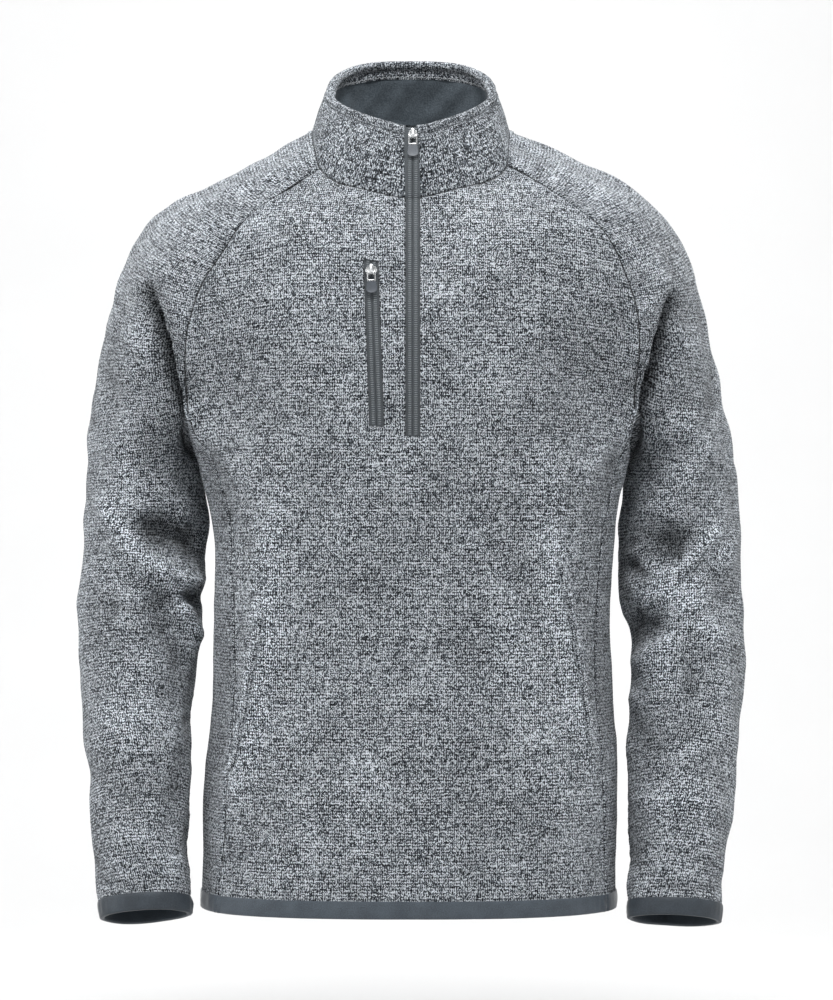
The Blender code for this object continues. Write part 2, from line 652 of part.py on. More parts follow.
def pulled_in(points, normals, edges):
    """Moves the points on a panel's open edges half a seam gap into the panel."""
    inward = {}
    for first, second in edges:
        along = points[second] - points[first]
        turn = np.cross(normals[first] + normals[second], along)
        for point in (first, second):
            inward.setdefault(point, []).append(turn / np.linalg.norm(turn))
    moved = points.copy()
    for point, turns in inward.items():
        total = np.sum(turns, axis=0)
        moved[point] += SEAM_GAP / 2 * total / max(1 + float(turns[0] @ turns[-1]), 0.4)
    return moved


def add_wall(cloth, name, finish):
    """A panel as a closed wall: outer face, inner face and the cut edge between them."""
    quads = cloth.panel_faces(name)
    used, local = np.unique(quads, return_inverse=True)
    quads = local.reshape(-1, 4)
    normals = cloth.normals[used]
    edges = outline_of(quads)
    outer = pulled_in(cloth.points[used], normals, edges)
    inner = outer - normals * CLOTH
    count = len(used)
    outside = halves(outer, quads)
    faces = [*outside, *(outside[:, ::-1] + count)]
    for first, second in edges:
        lead, cross = (first, second) if used[first] < used[second] else (second, first)
        faces += [(second, first, count + cross), (lead, count + first, count + second)]
    return add_object(name, np.concatenate((outer, inner)), faces, finish)


def add_sweep(name, rings, finish, closed, sharp_deg=40):
    """A body swept through rings of points, joined end to end or closed by flat ends."""
    rings = np.asarray(rings)
    count, size = rings.shape[:2]
    points = rings.reshape(-1, 3)
    here = np.arange(count * size).reshape(count, size)
    beside, after = np.roll(here, -1, axis=1), np.roll(here, -1, axis=0)
    quads = np.stack((here, beside, np.roll(after, -1, axis=1), after), axis=-1)
    faces = [*halves(points, quads[:count if closed else -1].reshape(-1, 4))]
    if not closed:
        faces += [here[0][::-1], here[-1]]
    return add_object(name, points, faces, finish, sharp_deg)


def up_column(cloth, name, column, height):
    """The cloth's face and its outward direction at a height measured up one column of a net."""
    ids = cloth.nets[name][:, column]
    gaps = np.linalg.norm(np.diff(cloth.points[ids], axis=0), axis=1)
    length = np.concatenate(([0.0], np.cumsum(gaps)))
    point = [np.interp(height, length, cloth.points[ids, axis]) for axis in range(3)]
    normal = [np.interp(height, length, cloth.normals[ids, axis]) for axis in range(3)]
    return np.array(point), np.array(normal), length[-1]


def collar_section(cloth, column, profile):
    """Points of the collar's cross section: each profile entry gives a height and a depth."""
    length = up_column(cloth, "collar", column, 0)[2]
    ring = []
    for height, depth in profile(length):
        point, normal, _ = up_column(cloth, "collar", column, height)
        ring.append(point - normal * depth)
    return ring


def collar_profile(length):
    """Up the outside, over the rolled edge, down the inside facing and back down the wall."""
    inside = length - FACING
    roll = ROLL_THICK
    return [(SEAM_GAP / 2, 0), (length / 3, 0), (length * 2 / 3, 0), (length - 0.0025, 0),
            (length - 0.0008, 0.0006), (length, 0.0021), (length, roll - 0.0021),
            (length - 0.0008, roll - 0.0006), (length - 0.0025, roll), (inside, roll),
            (inside, COLLAR_THICK), (inside / 2, COLLAR_THICK), (SEAM_GAP / 2, COLLAR_THICK)]


def lining_profile(length):
    """The band inside the collar, from the neck seam up to the facing."""
    near, far = COLLAR_THICK + SEAM_GAP, ROLL_THICK
    top = length - FACING - SEAM_GAP
    return [(SEAM_GAP / 2, near), (top / 2, near), (top, near),
            (top, far), (top / 2, far), (SEAM_GAP / 2, far)]


def add_binding(cloth, name, edge, above, finish):
    """Binding folded round a cloth edge: a channel that follows the wall between two rows."""
    gap, thick = SEAM_GAP, BINDING_THICK
    far = CLOTH + gap
    section = ((BINDING_HIGH, -gap), (BINDING_HIGH, -gap - thick), (-gap, -gap - thick),
               (-gap - thick, -gap), (-gap - thick, far), (-gap, far + thick),
               (BINDING_HIGH, far + thick), (BINDING_HIGH, far), (-gap, far), (-gap, -gap))
    rings = []
    for low, high in zip(edge, above):
        rise, turn = (values[high] - values[low] for values in (cloth.points, cloth.normals))
        shares = [(height / np.linalg.norm(rise), depth) for height, depth in section]
        rings.append([cloth.points[low] + rise * share - (cloth.normals[low] + turn * share) * depth
                      for share, depth in shares])
    return add_sweep(name, rings, finish, closed=True)


def hem_rows(cloth):
    """The hem's edge row and the row above it, all the way round."""
    order = ("front_panel", "left_side_panel", "back_panel", "right_side_panel")
    return [np.concatenate([cloth.nets[name][row, :-1] for name in order]) for row in (0, 1)]


# ---------------------------------------------------------------- zips
class ZipLine:
    """The two edges of a slot, right and left, and the strip of cloth face between them."""

    def __init__(self, right, left):
        self.right, self.left = right, left

    def at(self, step, offset, depth):
        """A point at one step up the slot, offset sideways from its middle line, and sunk."""
        (right, right_out), (left, left_out) = self.right[step], self.left[step]
        middle = self.middle(step)
        share = (middle + offset - right[0]) / (left[0] - right[0])
        return right + (left - right) * share - (right_out + (left_out - right_out) * share) * depth

    def middle(self, step):
        return (self.right[step][0][0] + self.left[step][0][0]) / 2

    def tape(self, name, side, finish):
        """One tape: a thin strip from the middle of the zip to the slot's edge."""
        near = side * TAPE_MIDDLE
        top, under = TAPE_SINK, TAPE_SINK + TAPE_THICK
        rings = []
        for step, (edge, _) in enumerate(self.left if side > 0 else self.right):
            far = edge[0] - self.middle(step) - side * TAPE_EDGE
            rings.append([self.at(step, offset, depth) for offset, depth in
                          ((near, top), (far, top), (far, under), (near, under))])
        return add_sweep(name, rings, finish, closed=False)


class CentreLine(ZipLine):
    """The centre zip keeps to one upright line, also where its slot opens out."""

    def middle(self, step):
        return ZIP_X


def centre_zip_line(cloth):
    """Steps up the centre slot: the rows of the front panel, then heights up the collar's two ends."""
    rows = range(cloth.slot_rows["zip"], len(cloth.nets["front_panel"]))
    sides = []
    for panel_column, collar_column in ((cloth.zip_columns[0], -1), (cloth.zip_columns[1], 0)):
        ids = cloth.nets["front_panel"][rows.start:, panel_column]
        steps = [(cloth.points[i], cloth.normals[i]) for i in ids]
        length = up_column(cloth, "collar", collar_column, 0)[2]
        for height in (length / 3, length * 2 / 3, length - GARAGE_LONG * 0.6, length - TAPE_BELOW_RIM):
            steps.append(up_column(cloth, "collar", collar_column, height)[:2])
        sides.append(steps)
    return CentreLine(*sides)


def pocket_zip_line(cloth):
    rows = range(cloth.slot_rows["low"], cloth.slot_rows["high"] + 1)
    return ZipLine(*[[(cloth.points[i], cloth.normals[i]) for i in
                      cloth.nets["front_panel"][rows.start:rows.stop, column]]
                     for column in cloth.pocket_columns])


def trimmed(line, low, high):
    """The same slot, with its first and last steps moved in so that the tape ends clear of the cloth."""
    for steps in (line.right, line.left):
        for end, after, gap in ((0, 1, low), (-1, -2, high)):
            run = steps[after][0] - steps[end][0]
            share = gap / np.linalg.norm(run)
            steps[end] = (steps[end][0] + run * share, steps[end][1])
    return line


def zip_frame(line, height):
    """Origin and axes of a slider: across, up the zip and outward, where the zip passes a height."""
    path = np.array([line.at(step, 0, 0) for step in range(len(line.right))])
    step = int(np.clip(np.searchsorted(path[:, 2], height) - 1, 0, len(path) - 2))
    run = path[step + 1] - path[step]
    up = run / np.linalg.norm(run)
    origin = path[step] + run * (height - path[step][2]) / run[2]
    across = np.array((1.0, 0.0, 0.0)) - up[0] * up
    across /= np.linalg.norm(across)
    return origin, np.column_stack((across, up, np.cross(across, up)))


def slider_outline(inset):
    """The slider's body from the front: an oval, narrower towards its foot."""
    places = []
    for k in range(SLIDER_POINTS):
        turn = 2 * math.pi * (k + 0.5) / SLIDER_POINTS
        wide = SLIDER_WIDE / 2 * (1 - 0.12 * (1 - math.sin(turn)) / 2)
        places.append(((wide - inset) * math.cos(turn), (SLIDER_LONG / 2 - inset) * math.sin(turn)))
    return places


def add_slider(name, frame, finish):
    """The slider's body with the bridge that holds the pull, joined into one."""
    origin, axes = frame
    rings = [[origin + axes @ (x, up, out) for x, up in slider_outline(inset)]
             for out, inset in (
                 (SLIDER_FOOT, 0), (SLIDER_TOP - SLIDER_BEVEL, 0), (SLIDER_TOP, SLIDER_BEVEL))]
    body = add_sweep(name, rings, finish, closed=False, sharp_deg=30)
    arch = [(-BRIDGE_LONG / 2, SLIDER_TOP - BRIDGE_SUNK), (-BRIDGE_LONG / 2, BRIDGE_TOP - 0.001),
            (-BRIDGE_LONG / 2 + 0.001, BRIDGE_TOP), (BRIDGE_LONG / 2 - 0.001, BRIDGE_TOP),
            (BRIDGE_LONG / 2, BRIDGE_TOP - 0.001), (BRIDGE_LONG / 2, SLIDER_TOP - BRIDGE_SUNK)]
    inside = BRIDGE_LONG / 2 - BRIDGE_THICK
    roof = BRIDGE_TOP - BRIDGE_THICK
    arch += [(inside, SLIDER_TOP - BRIDGE_SUNK), (inside, roof - 0.0005), (inside - 0.0005, roof),
             (-inside + 0.0005, roof), (-inside, roof - 0.0005), (-inside, SLIDER_TOP - BRIDGE_SUNK)]
    rings = [[origin + axes @ (x, up, out) for up, out in arch]
             for x in (-BRIDGE_WIDE / 2, BRIDGE_WIDE / 2)]
    bridge = add_sweep(name + "_bridge", rings, finish, closed=False, sharp_deg=30)
    bridge.hide_render = True
    bridge.display_type = "WIRE"
    join = body.modifiers.new("bridge", "BOOLEAN")
    join.operation = "UNION"
    join.object = bridge
    return body


def hinge_of(frame):
    """Where a pull hangs: a point on its axis, and its axes, leaned a little towards the cloth."""
    origin, axes = frame
    point = origin + axes @ (0, HINGE_UP, HINGE_OUT)
    lean = math.radians(PULL_LEAN_DEG)
    turn = np.array(((1, 0, 0), (0, math.cos(lean), -math.sin(lean)), (0, math.sin(lean), math.cos(lean))))
    return point, axes @ turn


def add_on_hinge(name, rings, finish, hinge, closed):
    """A swept piece in the pull's own axes, placed with its origin on the hinge."""
    piece = add_sweep(name, rings, finish, closed, sharp_deg=30)
    point, axes = hinge
    piece.matrix_world = Matrix.LocRotScale(Vector(point), Matrix(axes.tolist()), None)
    return piece


def add_pull(name, hinge, finish):
    """The pull's frame: a flat ring whose top bar turns under the bridge."""
    half, window = PULL_WIDE / 2, PULL_WIDE / 2 - PULL_ARM
    bar = PULL_THICK / 2
    corners = (((half, bar), (window, -bar)), ((-half, bar), (-window, -bar)),
               ((-half, -PULL_LONG), (-window, -PULL_WINDOW)), ((half, -PULL_LONG), (window, -PULL_WINDOW)))
    rings = [[(*outer, bar), (*outer, -bar), (*inner, -bar), (*inner, bar)] for outer, inner in corners]
    return add_on_hinge(name, rings, finish, hinge, closed=True)


def add_pull_tip(name, hinge, finish):
    """The moulded tip below the frame, wider and rounded at its foot."""
    start = PULL_LONG + SEAM_GAP
    outline = [(wide / 2, -(start + share * TIP_LONG)) for share, wide in (
        (0.0, TIP_WIDE_TOP), (0.45, TIP_WIDE * 0.94), (0.68, TIP_WIDE), (0.85, TIP_WIDE * 0.9),
        (1.0, TIP_WIDE * 0.5))]
    outline += [(-x, up) for x, up in outline[::-1]]
    middle = np.mean(outline, axis=0)
    rings = []
    for out, inset in ((-1, TIP_BEVEL), (-0.5, 0), (0.5, 0), (1, TIP_BEVEL)):
        ring = []
        for x, up in outline:
            shrink = 1 - inset / (TIP_LONG / 2)
            ring.append((middle[0] + (x - middle[0]) * shrink, middle[1] + (up - middle[1]) * shrink,
                         out * TIP_THICK / 2))
        rings.append(ring)
    return add_on_hinge(name, rings, finish, hinge, closed=False)


def add_garage(cloth, finish):
    """Folded tape ends behind the slider, in the collar's slot just below its rolled edge."""
    rings = []
    for back in (GARAGE_LONG, GARAGE_LONG / 2, TAPE_BELOW_RIM):
        ends = []
        for column in (-1, 0):
            length = up_column(cloth, "collar", column, 0)[2]
            ends.append(up_column(cloth, "collar", column, length - back)[:2])
        (right, right_out), (left, left_out) = ends
        margin = GARAGE_SIDE / np.linalg.norm(left - right)
        near = TAPE_SINK + TAPE_THICK + SEAM_GAP
        ring = []
        for share, depth in ((margin, near), (1 - margin, near), (1 - margin, near + TAPE_THICK),
                             (margin, near + TAPE_THICK)):
            out = right_out + (left_out - right_out) * share
            ring.append(right + (left - right) * share - out * depth)
        rings.append(ring)
    return add_sweep("centre_zip_garage", rings, finish, closed=False)


def hexed(code):
    """A colour written as red, green and blue in hex, turned to linear light."""
    parts = [int(code[i:i + 2], 16) / 255 for i in (0, 2, 4)]
    return [part / 12.92 if part <= 0.04045 else ((part + 0.055) / 1.055) ** 2.4 for part in parts]


def clear_scene():
    for thing in list(bpy.data.objects):
        bpy.data.objects.remove(thing, do_unlink=True)


def main():
    clear_scene()
    knit = material("marled_knit_fleece", hexed("888E93"), 0.95)
    fleece = material("slate_fleece", hexed("474F55"), 0.95)
    stretch = material("slate_binding", hexed("464D55"), 0.7)
    tape = material("grey_zip_tape", hexed("5C6164"), 0.8)
    metal = material("nickel_plate", hexed("C9CBCC"), 0.3, 1.0)
    moulded = material("grey_moulded_tip", hexed("6B6F75"), 0.5)

    cloth = Cloth()
    for name in ("front_panel", "back_panel", "right_side_panel", "left_side_panel",
                 "right_sleeve", "left_sleeve"):
        add_wall(cloth, name, knit)

    columns = range(cloth.nets["collar"].shape[1])
    for name, profile, finish in (
            ("collar", collar_profile, knit), ("collar_lining", lining_profile, fleece)):
        rings = [collar_section(cloth, column, profile) for column in columns]
        add_sweep(name, rings, finish, closed=False)

    add_binding(cloth, "hem_binding", *hem_rows(cloth), stretch)
    for side in ("right", "left"):
        tube = cloth.nets[side + "_sleeve_tube"]
        add_binding(cloth, side + "_cuff_binding", tube[0], tube[1], stretch)

    for zip_name, line, height in (
            ("centre", trimmed(centre_zip_line(cloth), SEAM_GAP, 0), SLIDER_HEIGHT),
            ("pocket", trimmed(pocket_zip_line(cloth), SEAM_GAP, SEAM_GAP), POCKET_SLIDER_HEIGHT)):
        for side, sign in (("right", -1), ("left", 1)):
            line.tape(f"{zip_name}_zip_tape_{side}", sign, tape)
        frame = zip_frame(line, height)
        add_slider(zip_name + "_slider", frame, metal)
        hinge = hinge_of(frame)
        add_pull(zip_name + "_pull", hinge, metal)
        add_pull_tip(zip_name + "_pull_tip", hinge, moulded)
    add_garage(cloth, tape)


if __name__ == "__main__":
    main()
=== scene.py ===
"""Quarter-zip raglan pullover in marled sweater-knit fleece: the cloth, zips and stitching that show.

The origin is the middle of the neck. +X is the wearer's left, -Y the front, +Z up. Sizes in tables are
in millimetres, all others in metres. The cloth lies on the form of its solids: the same sections,
joined by the same curves at a finer pitch, with the same large folds and then the small ones.
"""
import logging
import math
from contextlib import contextmanager
from dataclasses import dataclass, field
from enum import Enum
from functools import partial
from typing import Callable, Iterator

import bmesh
import bpy
import numpy as np
from mathutils import Matrix, Vector
from mathutils.bvhtree import BVHTree


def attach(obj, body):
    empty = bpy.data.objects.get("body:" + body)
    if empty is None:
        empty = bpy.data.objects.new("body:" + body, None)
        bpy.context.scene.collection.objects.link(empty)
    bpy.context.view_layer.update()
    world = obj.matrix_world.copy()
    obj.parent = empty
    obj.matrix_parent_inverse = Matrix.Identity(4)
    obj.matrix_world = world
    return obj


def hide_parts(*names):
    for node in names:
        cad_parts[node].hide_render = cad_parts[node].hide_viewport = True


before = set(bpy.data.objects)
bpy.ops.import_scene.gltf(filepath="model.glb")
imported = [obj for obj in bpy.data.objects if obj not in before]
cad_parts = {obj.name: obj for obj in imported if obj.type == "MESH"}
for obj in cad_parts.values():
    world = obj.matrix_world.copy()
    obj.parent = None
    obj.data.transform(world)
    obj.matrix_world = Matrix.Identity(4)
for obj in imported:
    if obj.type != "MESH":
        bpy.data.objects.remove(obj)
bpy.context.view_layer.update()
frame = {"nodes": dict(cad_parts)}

LOG = logging.getLogger("pullover")
BODY_NAME = "garment"

MM = 0.001
CLOTH = 0.0022              # thickness of the fleece
SECTION_ROUNDNESS = 2.5
SLEEVE_ROUNDNESS = 2.15

ZIP_X = 0.0033
SLOT = 0.0130
ZIP_BOTTOM = -0.278
POCKET_TOP = -0.1155
POCKET_BOTTOM = -0.2685
POCKET_X_TOP = -0.0356
POCKET_X_BOTTOM = -0.0300

COLLAR_THICK = 0.0024
ROLL_THICK = 0.0060
FACING = 0.018
COLLAR_BULGE = 0.002
BINDING_HIGH = 0.0144
HEM_LEVEL = 0.28            # the rows that lie at the bindings' tops
CUFF_LEVEL = 0.54
CLOSE = 1e-5                # a point this near to a face lies on it
SWELL_REACH = 0.04          # how far a swell of the sides reaches inward
FAR = 0.05                  # from here on, a place counts as clear of all seams

Array, Thing, Material = np.ndarray, bpy.types.Object, bpy.types.Material
Tree, Node = bpy.types.NodeTree, bpy.types.Node
Columns = dict[str, Array]
Pair = tuple[Array, Array]          # mostly points, and an outward direction at each


def table(columns: str, rows: str) -> Columns:
    """Reads a table of sizes in millimetres and turns them to metres.

    Args:
        columns: The columns' names, parted by spaces.
        rows: Numbers parted by spaces, one row a line; a # starts a remark.

    Returns:
        Each name with its column as an array.
    """
    numbers = [line.partition("#")[0].split() for line in rows.splitlines()]
    return dict(zip(columns.split(), (np.array([row for row in numbers if row], float) * MM).T))


# Rings of the body, hem to chest: half widths each side, depths, and where the panel seams run.
BODY = table("z    right  left   front  back  seam_right seam_left back_seam", """
-722 198.5 196 -131 127 181 185 168
-670 198 198 -130 126 176 184 166
-615 197 199 -128 122 170 182 163
-555 192.5 198.5 -125 117 167 180 160
-495 189 195 -124 113 165.5 178 158
-440 186.8 193.4 -125 112 165.5 178 158
-390 186.2 195.4 -128 114 167 181 160
-345 191 199 -132 118 173 188 166
-300 198.5 204.5 -136 121 190 200 184""")
WIDEST_Y = -0.008           # where a ring of the body is widest

# Loops of the yoke, underarm to neck. A row of each table belongs to one loop.
CENTRE = table("front_y front_z back_y back_z front_swell front_drop back_swell", """
-137 -262 122 -255 -26 0 10
-137 -212 127 -202 -14 0 8
-133 -168 129 -150 -11 -1 7
-125 -131 127 -100 -9 -2 6
-115 -101 118 -54 -7 -4 7
-104 -76 100 -9 -7 -6 7
-93 -53 78 32 -9 -7 6""")
FRONT_SEAM_RIGHT = table("x y z", """
-207 -65 -253
-207 -94 -177
-193 -103 -134
-175 -102 -105
-152 -95 -72.5
-120 -78 -47.5
-84.5 -55 -22""")
FRONT_SEAM_LEFT = table("x y z", """
211.5 -65 -249
212.5 -97 -160
200 -103 -120
182.5 -102 -86
156.5 -95 -62
127.5 -78 -41
92 -55 -19.5""")
CROWN_RIGHT = table("x y z", """
-309.5 30 -262
-287 30 -150
-264.5 28 -86.5
-235.5 26 -55.5
-192.5 22 -32.5
-144 18 -9
-93 15 20.5""")
CROWN_LEFT = table("x y z", """
306.5 30 -262
282 30 -153
262.5 28 -88.5
237.5 26 -54.5
196.5 22 -25
148 18 -3
95.5 15 20""")
BACK_SEAM = table("x y z", """
198 90 -238
199 106 -152
188 110 -96
169 107 -56
141 99 -20
108 83 8
73 62 30""")

# The seam under the arm, front to back, between the armpit's two ends.
UNDERARM = table("x y z", """
206 -24 -270
203.5 22 -276
200 62 -264""")

# Rings of the sleeves, cuff to underarm.
SLEEVE_RIGHT = table("x y z half_width half_depth", """
-249.8 -63 -727 42 31
-251.5 -54 -700 43.5 36
-255.5 -42 -660 45.5 43
-256.6 -26 -612 47.5 49
-260.8 -6 -547 52.3 54
-261 12 -481 57 58
-258.5 25 -411 59.5 64
-254.5 30 -345 59 69
-257 30 -300 54.5 71""")
SLEEVE_LEFT = table("x y z half_width half_depth", """
250.8 -60 -731 43.5 31
252 -52 -704 44 36
255 -42 -664 46.5 43
258.3 -26 -612 51 49
263.6 -6 -547 53.7 54
268.5 12 -481 54 58
262 25 -418 59.5 63
261.5 30 -345 57.5 69
261 30 -300 52.5 71""")
# Directions from a sleeve's middle: 0 is towards the body, 90 the front, 180 away from the body.
RING_ANGLES = (50, 93, 137, 180, 223, 267, 310, 335, 0, 25)

# The collar's upper edge: an oval, squarer behind and pointed in front, that climbs to the back.
RIM = {"right": 0.0772, "left": 0.0805, "front": -0.0760, "back": 0.0750,
       "front_z": 0.0175, "back_z": 0.0942, "square_front": 1.42, "square_back": 2.9}
RIM_SLOT_RIGHT = 0.0078     # the slot opens out at the collar's top, more on the wearer's left
RIM_SLOT_LEFT = 0.0125

FRONT, BACK = -1, 1
FOLD_COLUMNS = "x0 z0 x1 z1 x2 z2 height width"
FOLDS = (
    ("body", FRONT, table(FOLD_COLUMNS, """
-116 -317 -137 -447 -168 -642 5 17   # swell down to the right hand pocket
126 -271 146 -440 176 -605 4 17   # the same on the left
84 -392 107 -503 153 -670 2.5 19
-194 -280 -180 -327 -163 -392 -4 15   # hollow below the right armpit
196 -285 186 -335 176 -400 -3 14
178 -447 184 -521 186 -600 -3 13
-163 -470 -178 -560 -186 -640 -2.5 12
-60 -560 -40 -620 -52 -690 2 20
40 -590 62 -640 58 -700 -2 18""")),
    ("both", FRONT, table(FOLD_COLUMNS, """
-251 -130 -227 -180 -207 -250 -9 13   # creases from the armpits
249 -138 228 -198 211 -250 -9 13
-226 -135 -216 -176 -206 -226 3 12
226 -140 219 -180 209 -228 3 12""")),
    ("both", BACK, table(FOLD_COLUMNS, """
-236 -138 -222 -184 -200 -238 -7 14
238 -150 220 -190 200 -238 -7 13""")),
    ("arms", FRONT, table(FOLD_COLUMNS, """
-267 -146 -247 -203 -224 -275 4 17   # swells beside the armpit creases
266 -165 249 -222 230 -280 4 17
-285 -260 -271 -307 -257 -355 3 19
277 -241 267 -288 258 -336 3 19
-250 -352 -225 -372 -199 -382 -7 18   # right elbow: hollow, ridge, hollow
-301 -330 -247 -399 -193 -412 8 14
-247 -433 -219 -429 -194 -427 -5 10
-281 -455 -262 -436 -245 -420 3 12
-228 -427 -213 -452 -199 -486 5 10
-238 -446 -226 -469 -213 -498 -3 12
-312 -431 -295 -441 -276 -446 -3 12
-300 -525 -257 -546 -211 -531 2.5 16
-303 -583 -257 -612 -208 -598 -2.5 16
212 -358 243 -374 279 -369 -6 18   # left elbow: hollow, crossing ridges
314 -360 267 -436 216 -500 7 14
199 -422 258 -436 312 -482 5 14
208 -470 229 -465 250 -455 -5 12
277 -393 291 -412 316 -422 -4 13
267 -464 268 -496 266 -530 -3 15
204 -529 229 -518 258 -493 4 13
208 -553 239 -557 268 -548 -3 13
216 -602 258 -622 303 -608 2.5 16""")),
    ("body", BACK, table(FOLD_COLUMNS, """
-62 -110 -78 -300 -70 -520 3 26
72 -128 92 -320 82 -560 3 25
3 -150 -6 -300 4 -452 -3 30
-172 -255 -137 -322 -90 -398 4 17
170 -262 131 -335 96 -404 4 18
-152 -478 -100 -503 -42 -490 -3 18
150 -502 104 -528 48 -514 -3 17
-128 -560 -112 -630 -122 -700 3 20
118 -585 132 -640 120 -705 3 20""")),
    ("arms", BACK, table(FOLD_COLUMNS, """
-306 -372 -265 -396 -222 -390 4 16
-308 -424 -264 -440 -212 -428 -4 14
-304 -476 -262 -496 -214 -482 3.5 15
-226 -300 -246 -330 -278 -350 3 17
-300 -560 -258 -575 -212 -566 -2.5 15
304 -384 264 -403 222 -398 4 16
310 -436 266 -452 214 -438 -4 14
308 -488 268 -506 218 -494 3.5 15
228 -306 250 -338 280 -356 3 17
304 -578 262 -590 212 -580 -2.5 15""")))

# Small creases, placed where the photo shows them, and uneven ones like them on hidden sides.
WRINKLES = (
    ("arms", FRONT, table(FOLD_COLUMNS, """
-300 -334 -262 -376 -232 -404 4.6 4.5   # the long ridge over the right elbow
-240 -402 -222 -411 -196 -412 5.4 4.5
-262 -352 -236 -366 -196 -372 -7 12
-218 -420 -210 -428 -198 -432 -6 7
-226 -426 -214 -448 -203 -474 4.6 3.6
-290 -432 -262 -440 -238 -432 -4 9
304 -352 268 -392 240 -424 4.6 5.5   # crossing ridges over the left elbow
252 -424 232 -432 214 -430 5.2 5
250 -468 238 -478 220 -500 5 4
236 -364 250 -384 262 -392 -7 12
204 -392 216 -404 232 -412 -6 7
212 -446 226 -452 238 -450 -5 8
296 -404 284 -416 270 -428 -4 9
-293 -339 -272 -375 -240 -405 2.8 6
-270 -380 -238 -409 -200 -411 3.1 6
-246 -366 -222 -369 -200 -377 -3.5 6
-228 -415 -214 -440 -203 -470 3.1 6
-240 -462 -222 -455 -206 -458 -2.8 6
-206 -380 -202 -388 -199 -397 -3.9 5
-300 -402 -283 -396 -262 -399 2.1 7
-306 -476 -284 -470 -258 -476 -2.1 7
-222 -486 -212 -502 -203 -522 -2.8 6
-214 -540 -208 -552 -203 -568 -3.1 5
-296 -560 -270 -572 -238 -572 2.1 7
-290 -640 -262 -652 -228 -648 1.9 8
-236 -180 -226 -205 -214 -232 3.1 5
-262 -190 -246 -230 -226 -268 -2.8 7
-296 -186 -286 -230 -280 -280 -2.1 9
-296 -690 -262 -698 -222 -694 -2.1 6
304 -356 262 -392 236 -412 3.1 6
236 -470 224 -484 212 -498 3.5 5
250 -466 236 -492 222 -514 2.8 6
222 -440 216 -452 210 -466 -3.9 5
240 -384 222 -392 206 -404 -3.1 6
212 -380 222 -396 238 -408 2.8 6
206 -520 222 -528 240 -526 2.8 6
210 -562 222 -570 238 -570 -3.1 5
300 -420 284 -440 262 -452 -2.4 7
310 -452 286 -474 258 -486 2.3 7
262 -474 264 -530 262 -566 -2.3 6
298 -560 270 -574 236 -576 2.1 7
296 -648 266 -660 230 -654 1.9 8
236 -186 226 -208 214 -234 3.1 5
262 -196 246 -236 228 -270 -2.8 7
296 -192 288 -236 282 -286 -2.1 9
300 -694 268 -702 226 -698 -2.1 6""")),
    ("body", FRONT, table(FOLD_COLUMNS, """
-196 -262 -176 -296 -150 -326 1.8 7
-198 -278 -182 -322 -164 -362 -1.6 6
-188 -300 -172 -352 -160 -402 1.2 7
200 -258 182 -292 158 -318 1.8 7
204 -276 188 -318 172 -360 -1.6 6
192 -300 178 -350 168 -398 1.2 7
-128 -356 -140 -376 -142 -432 1.8 8
-142 -432 -148 -476 -156 -512 1.3 8
-96 -420 -112 -500 -128 -566 -1.4 11
120 -352 134 -398 148 -446 1.5 9
88 -330 104 -404 130 -476 -1.2 11
-52 -318 -60 -372 -58 -436 1 12
44 -340 56 -400 52 -470 1 12
-22 -300 -14 -340 -18 -396 -1 9
22 -296 26 -340 22 -400 -1.2 9
4 -282 3 -318 5 -360 1.2 7
-176 -500 -168 -560 -172 -640 1.2 8
178 -520 172 -580 176 -652 1.2 8
-120 -660 -128 -690 -124 -716 1.2 7
-60 -668 -54 -692 -58 -716 -1.1 7
18 -672 12 -694 16 -718 1 7
84 -664 92 -690 88 -716 1.2 7
142 -660 136 -688 140 -714 -1.2 7""")),
    ("both", FRONT, table(FOLD_COLUMNS, """
-170 -84 -182 -130 -196 -190 -1.2 8
176 -76 188 -124 200 -186 -1.2 8
-120 -36 -134 -60 -150 -96 1 10
126 -34 140 -58 156 -92 1 10
-60 -30 -66 -46 -64 -66 -0.9 8
62 -30 68 -44 66 -66 -0.9 8""")),
    ("body", BACK, table(FOLD_COLUMNS, """
-186 -268 -160 -306 -128 -336 1.6 8
186 -272 158 -312 124 -340 1.6 8
-176 -300 -152 -352 -120 -402 -1.4 8
178 -306 150 -360 122 -408 -1.4 8
-30 -90 -36 -180 -30 -280 1 12
34 -110 42 -200 38 -300 1 12
-110 -452 -66 -462 -20 -452 -1.2 9
112 -478 70 -486 26 -474 -1.2 9
-96 -520 -48 -530 4 -520 1 10
-80 -664 -86 -690 -82 -716 1.2 7
-10 -668 -4 -692 -8 -718 -1.1 7
60 -664 66 -690 62 -716 1.1 7
150 -660 144 -688 148 -714 1.2 7""")),
    ("arms", BACK, table(FOLD_COLUMNS, """
-300 -352 -262 -372 -222 -366 2.8 7
-306 -402 -264 -420 -216 -410 -2.8 7
-300 -452 -262 -466 -218 -456 2.6 7
-296 -512 -258 -528 -214 -516 -2.3 8
-296 -616 -256 -630 -216 -622 2.1 8
-240 -180 -228 -206 -212 -236 2.8 6
300 -360 264 -380 224 -374 2.8 7
308 -412 266 -430 218 -420 -2.8 7
302 -462 264 -478 220 -468 2.6 7
300 -530 262 -546 216 -534 -2.3 8
298 -626 260 -642 218 -632 2.1 8
240 -186 228 -212 212 -240 2.8 6""")))

# The hand pockets' slanted mouths, as steps in the front. Each runs down and outward.
POCKET_EDGES = table(FOLD_COLUMNS, """
-140 -440 -152 -512 -168 -588 4 30
141 -392 159 -478 172 -566 4.5 30""")

# The deep creases where the front stands over the sleeves, down to the armpits.
ARM_CREASES = table(FOLD_COLUMNS, """
-247 -131 -224 -196 -203 -300 19 9
247 -138 225 -208 206 -305 19 9""")

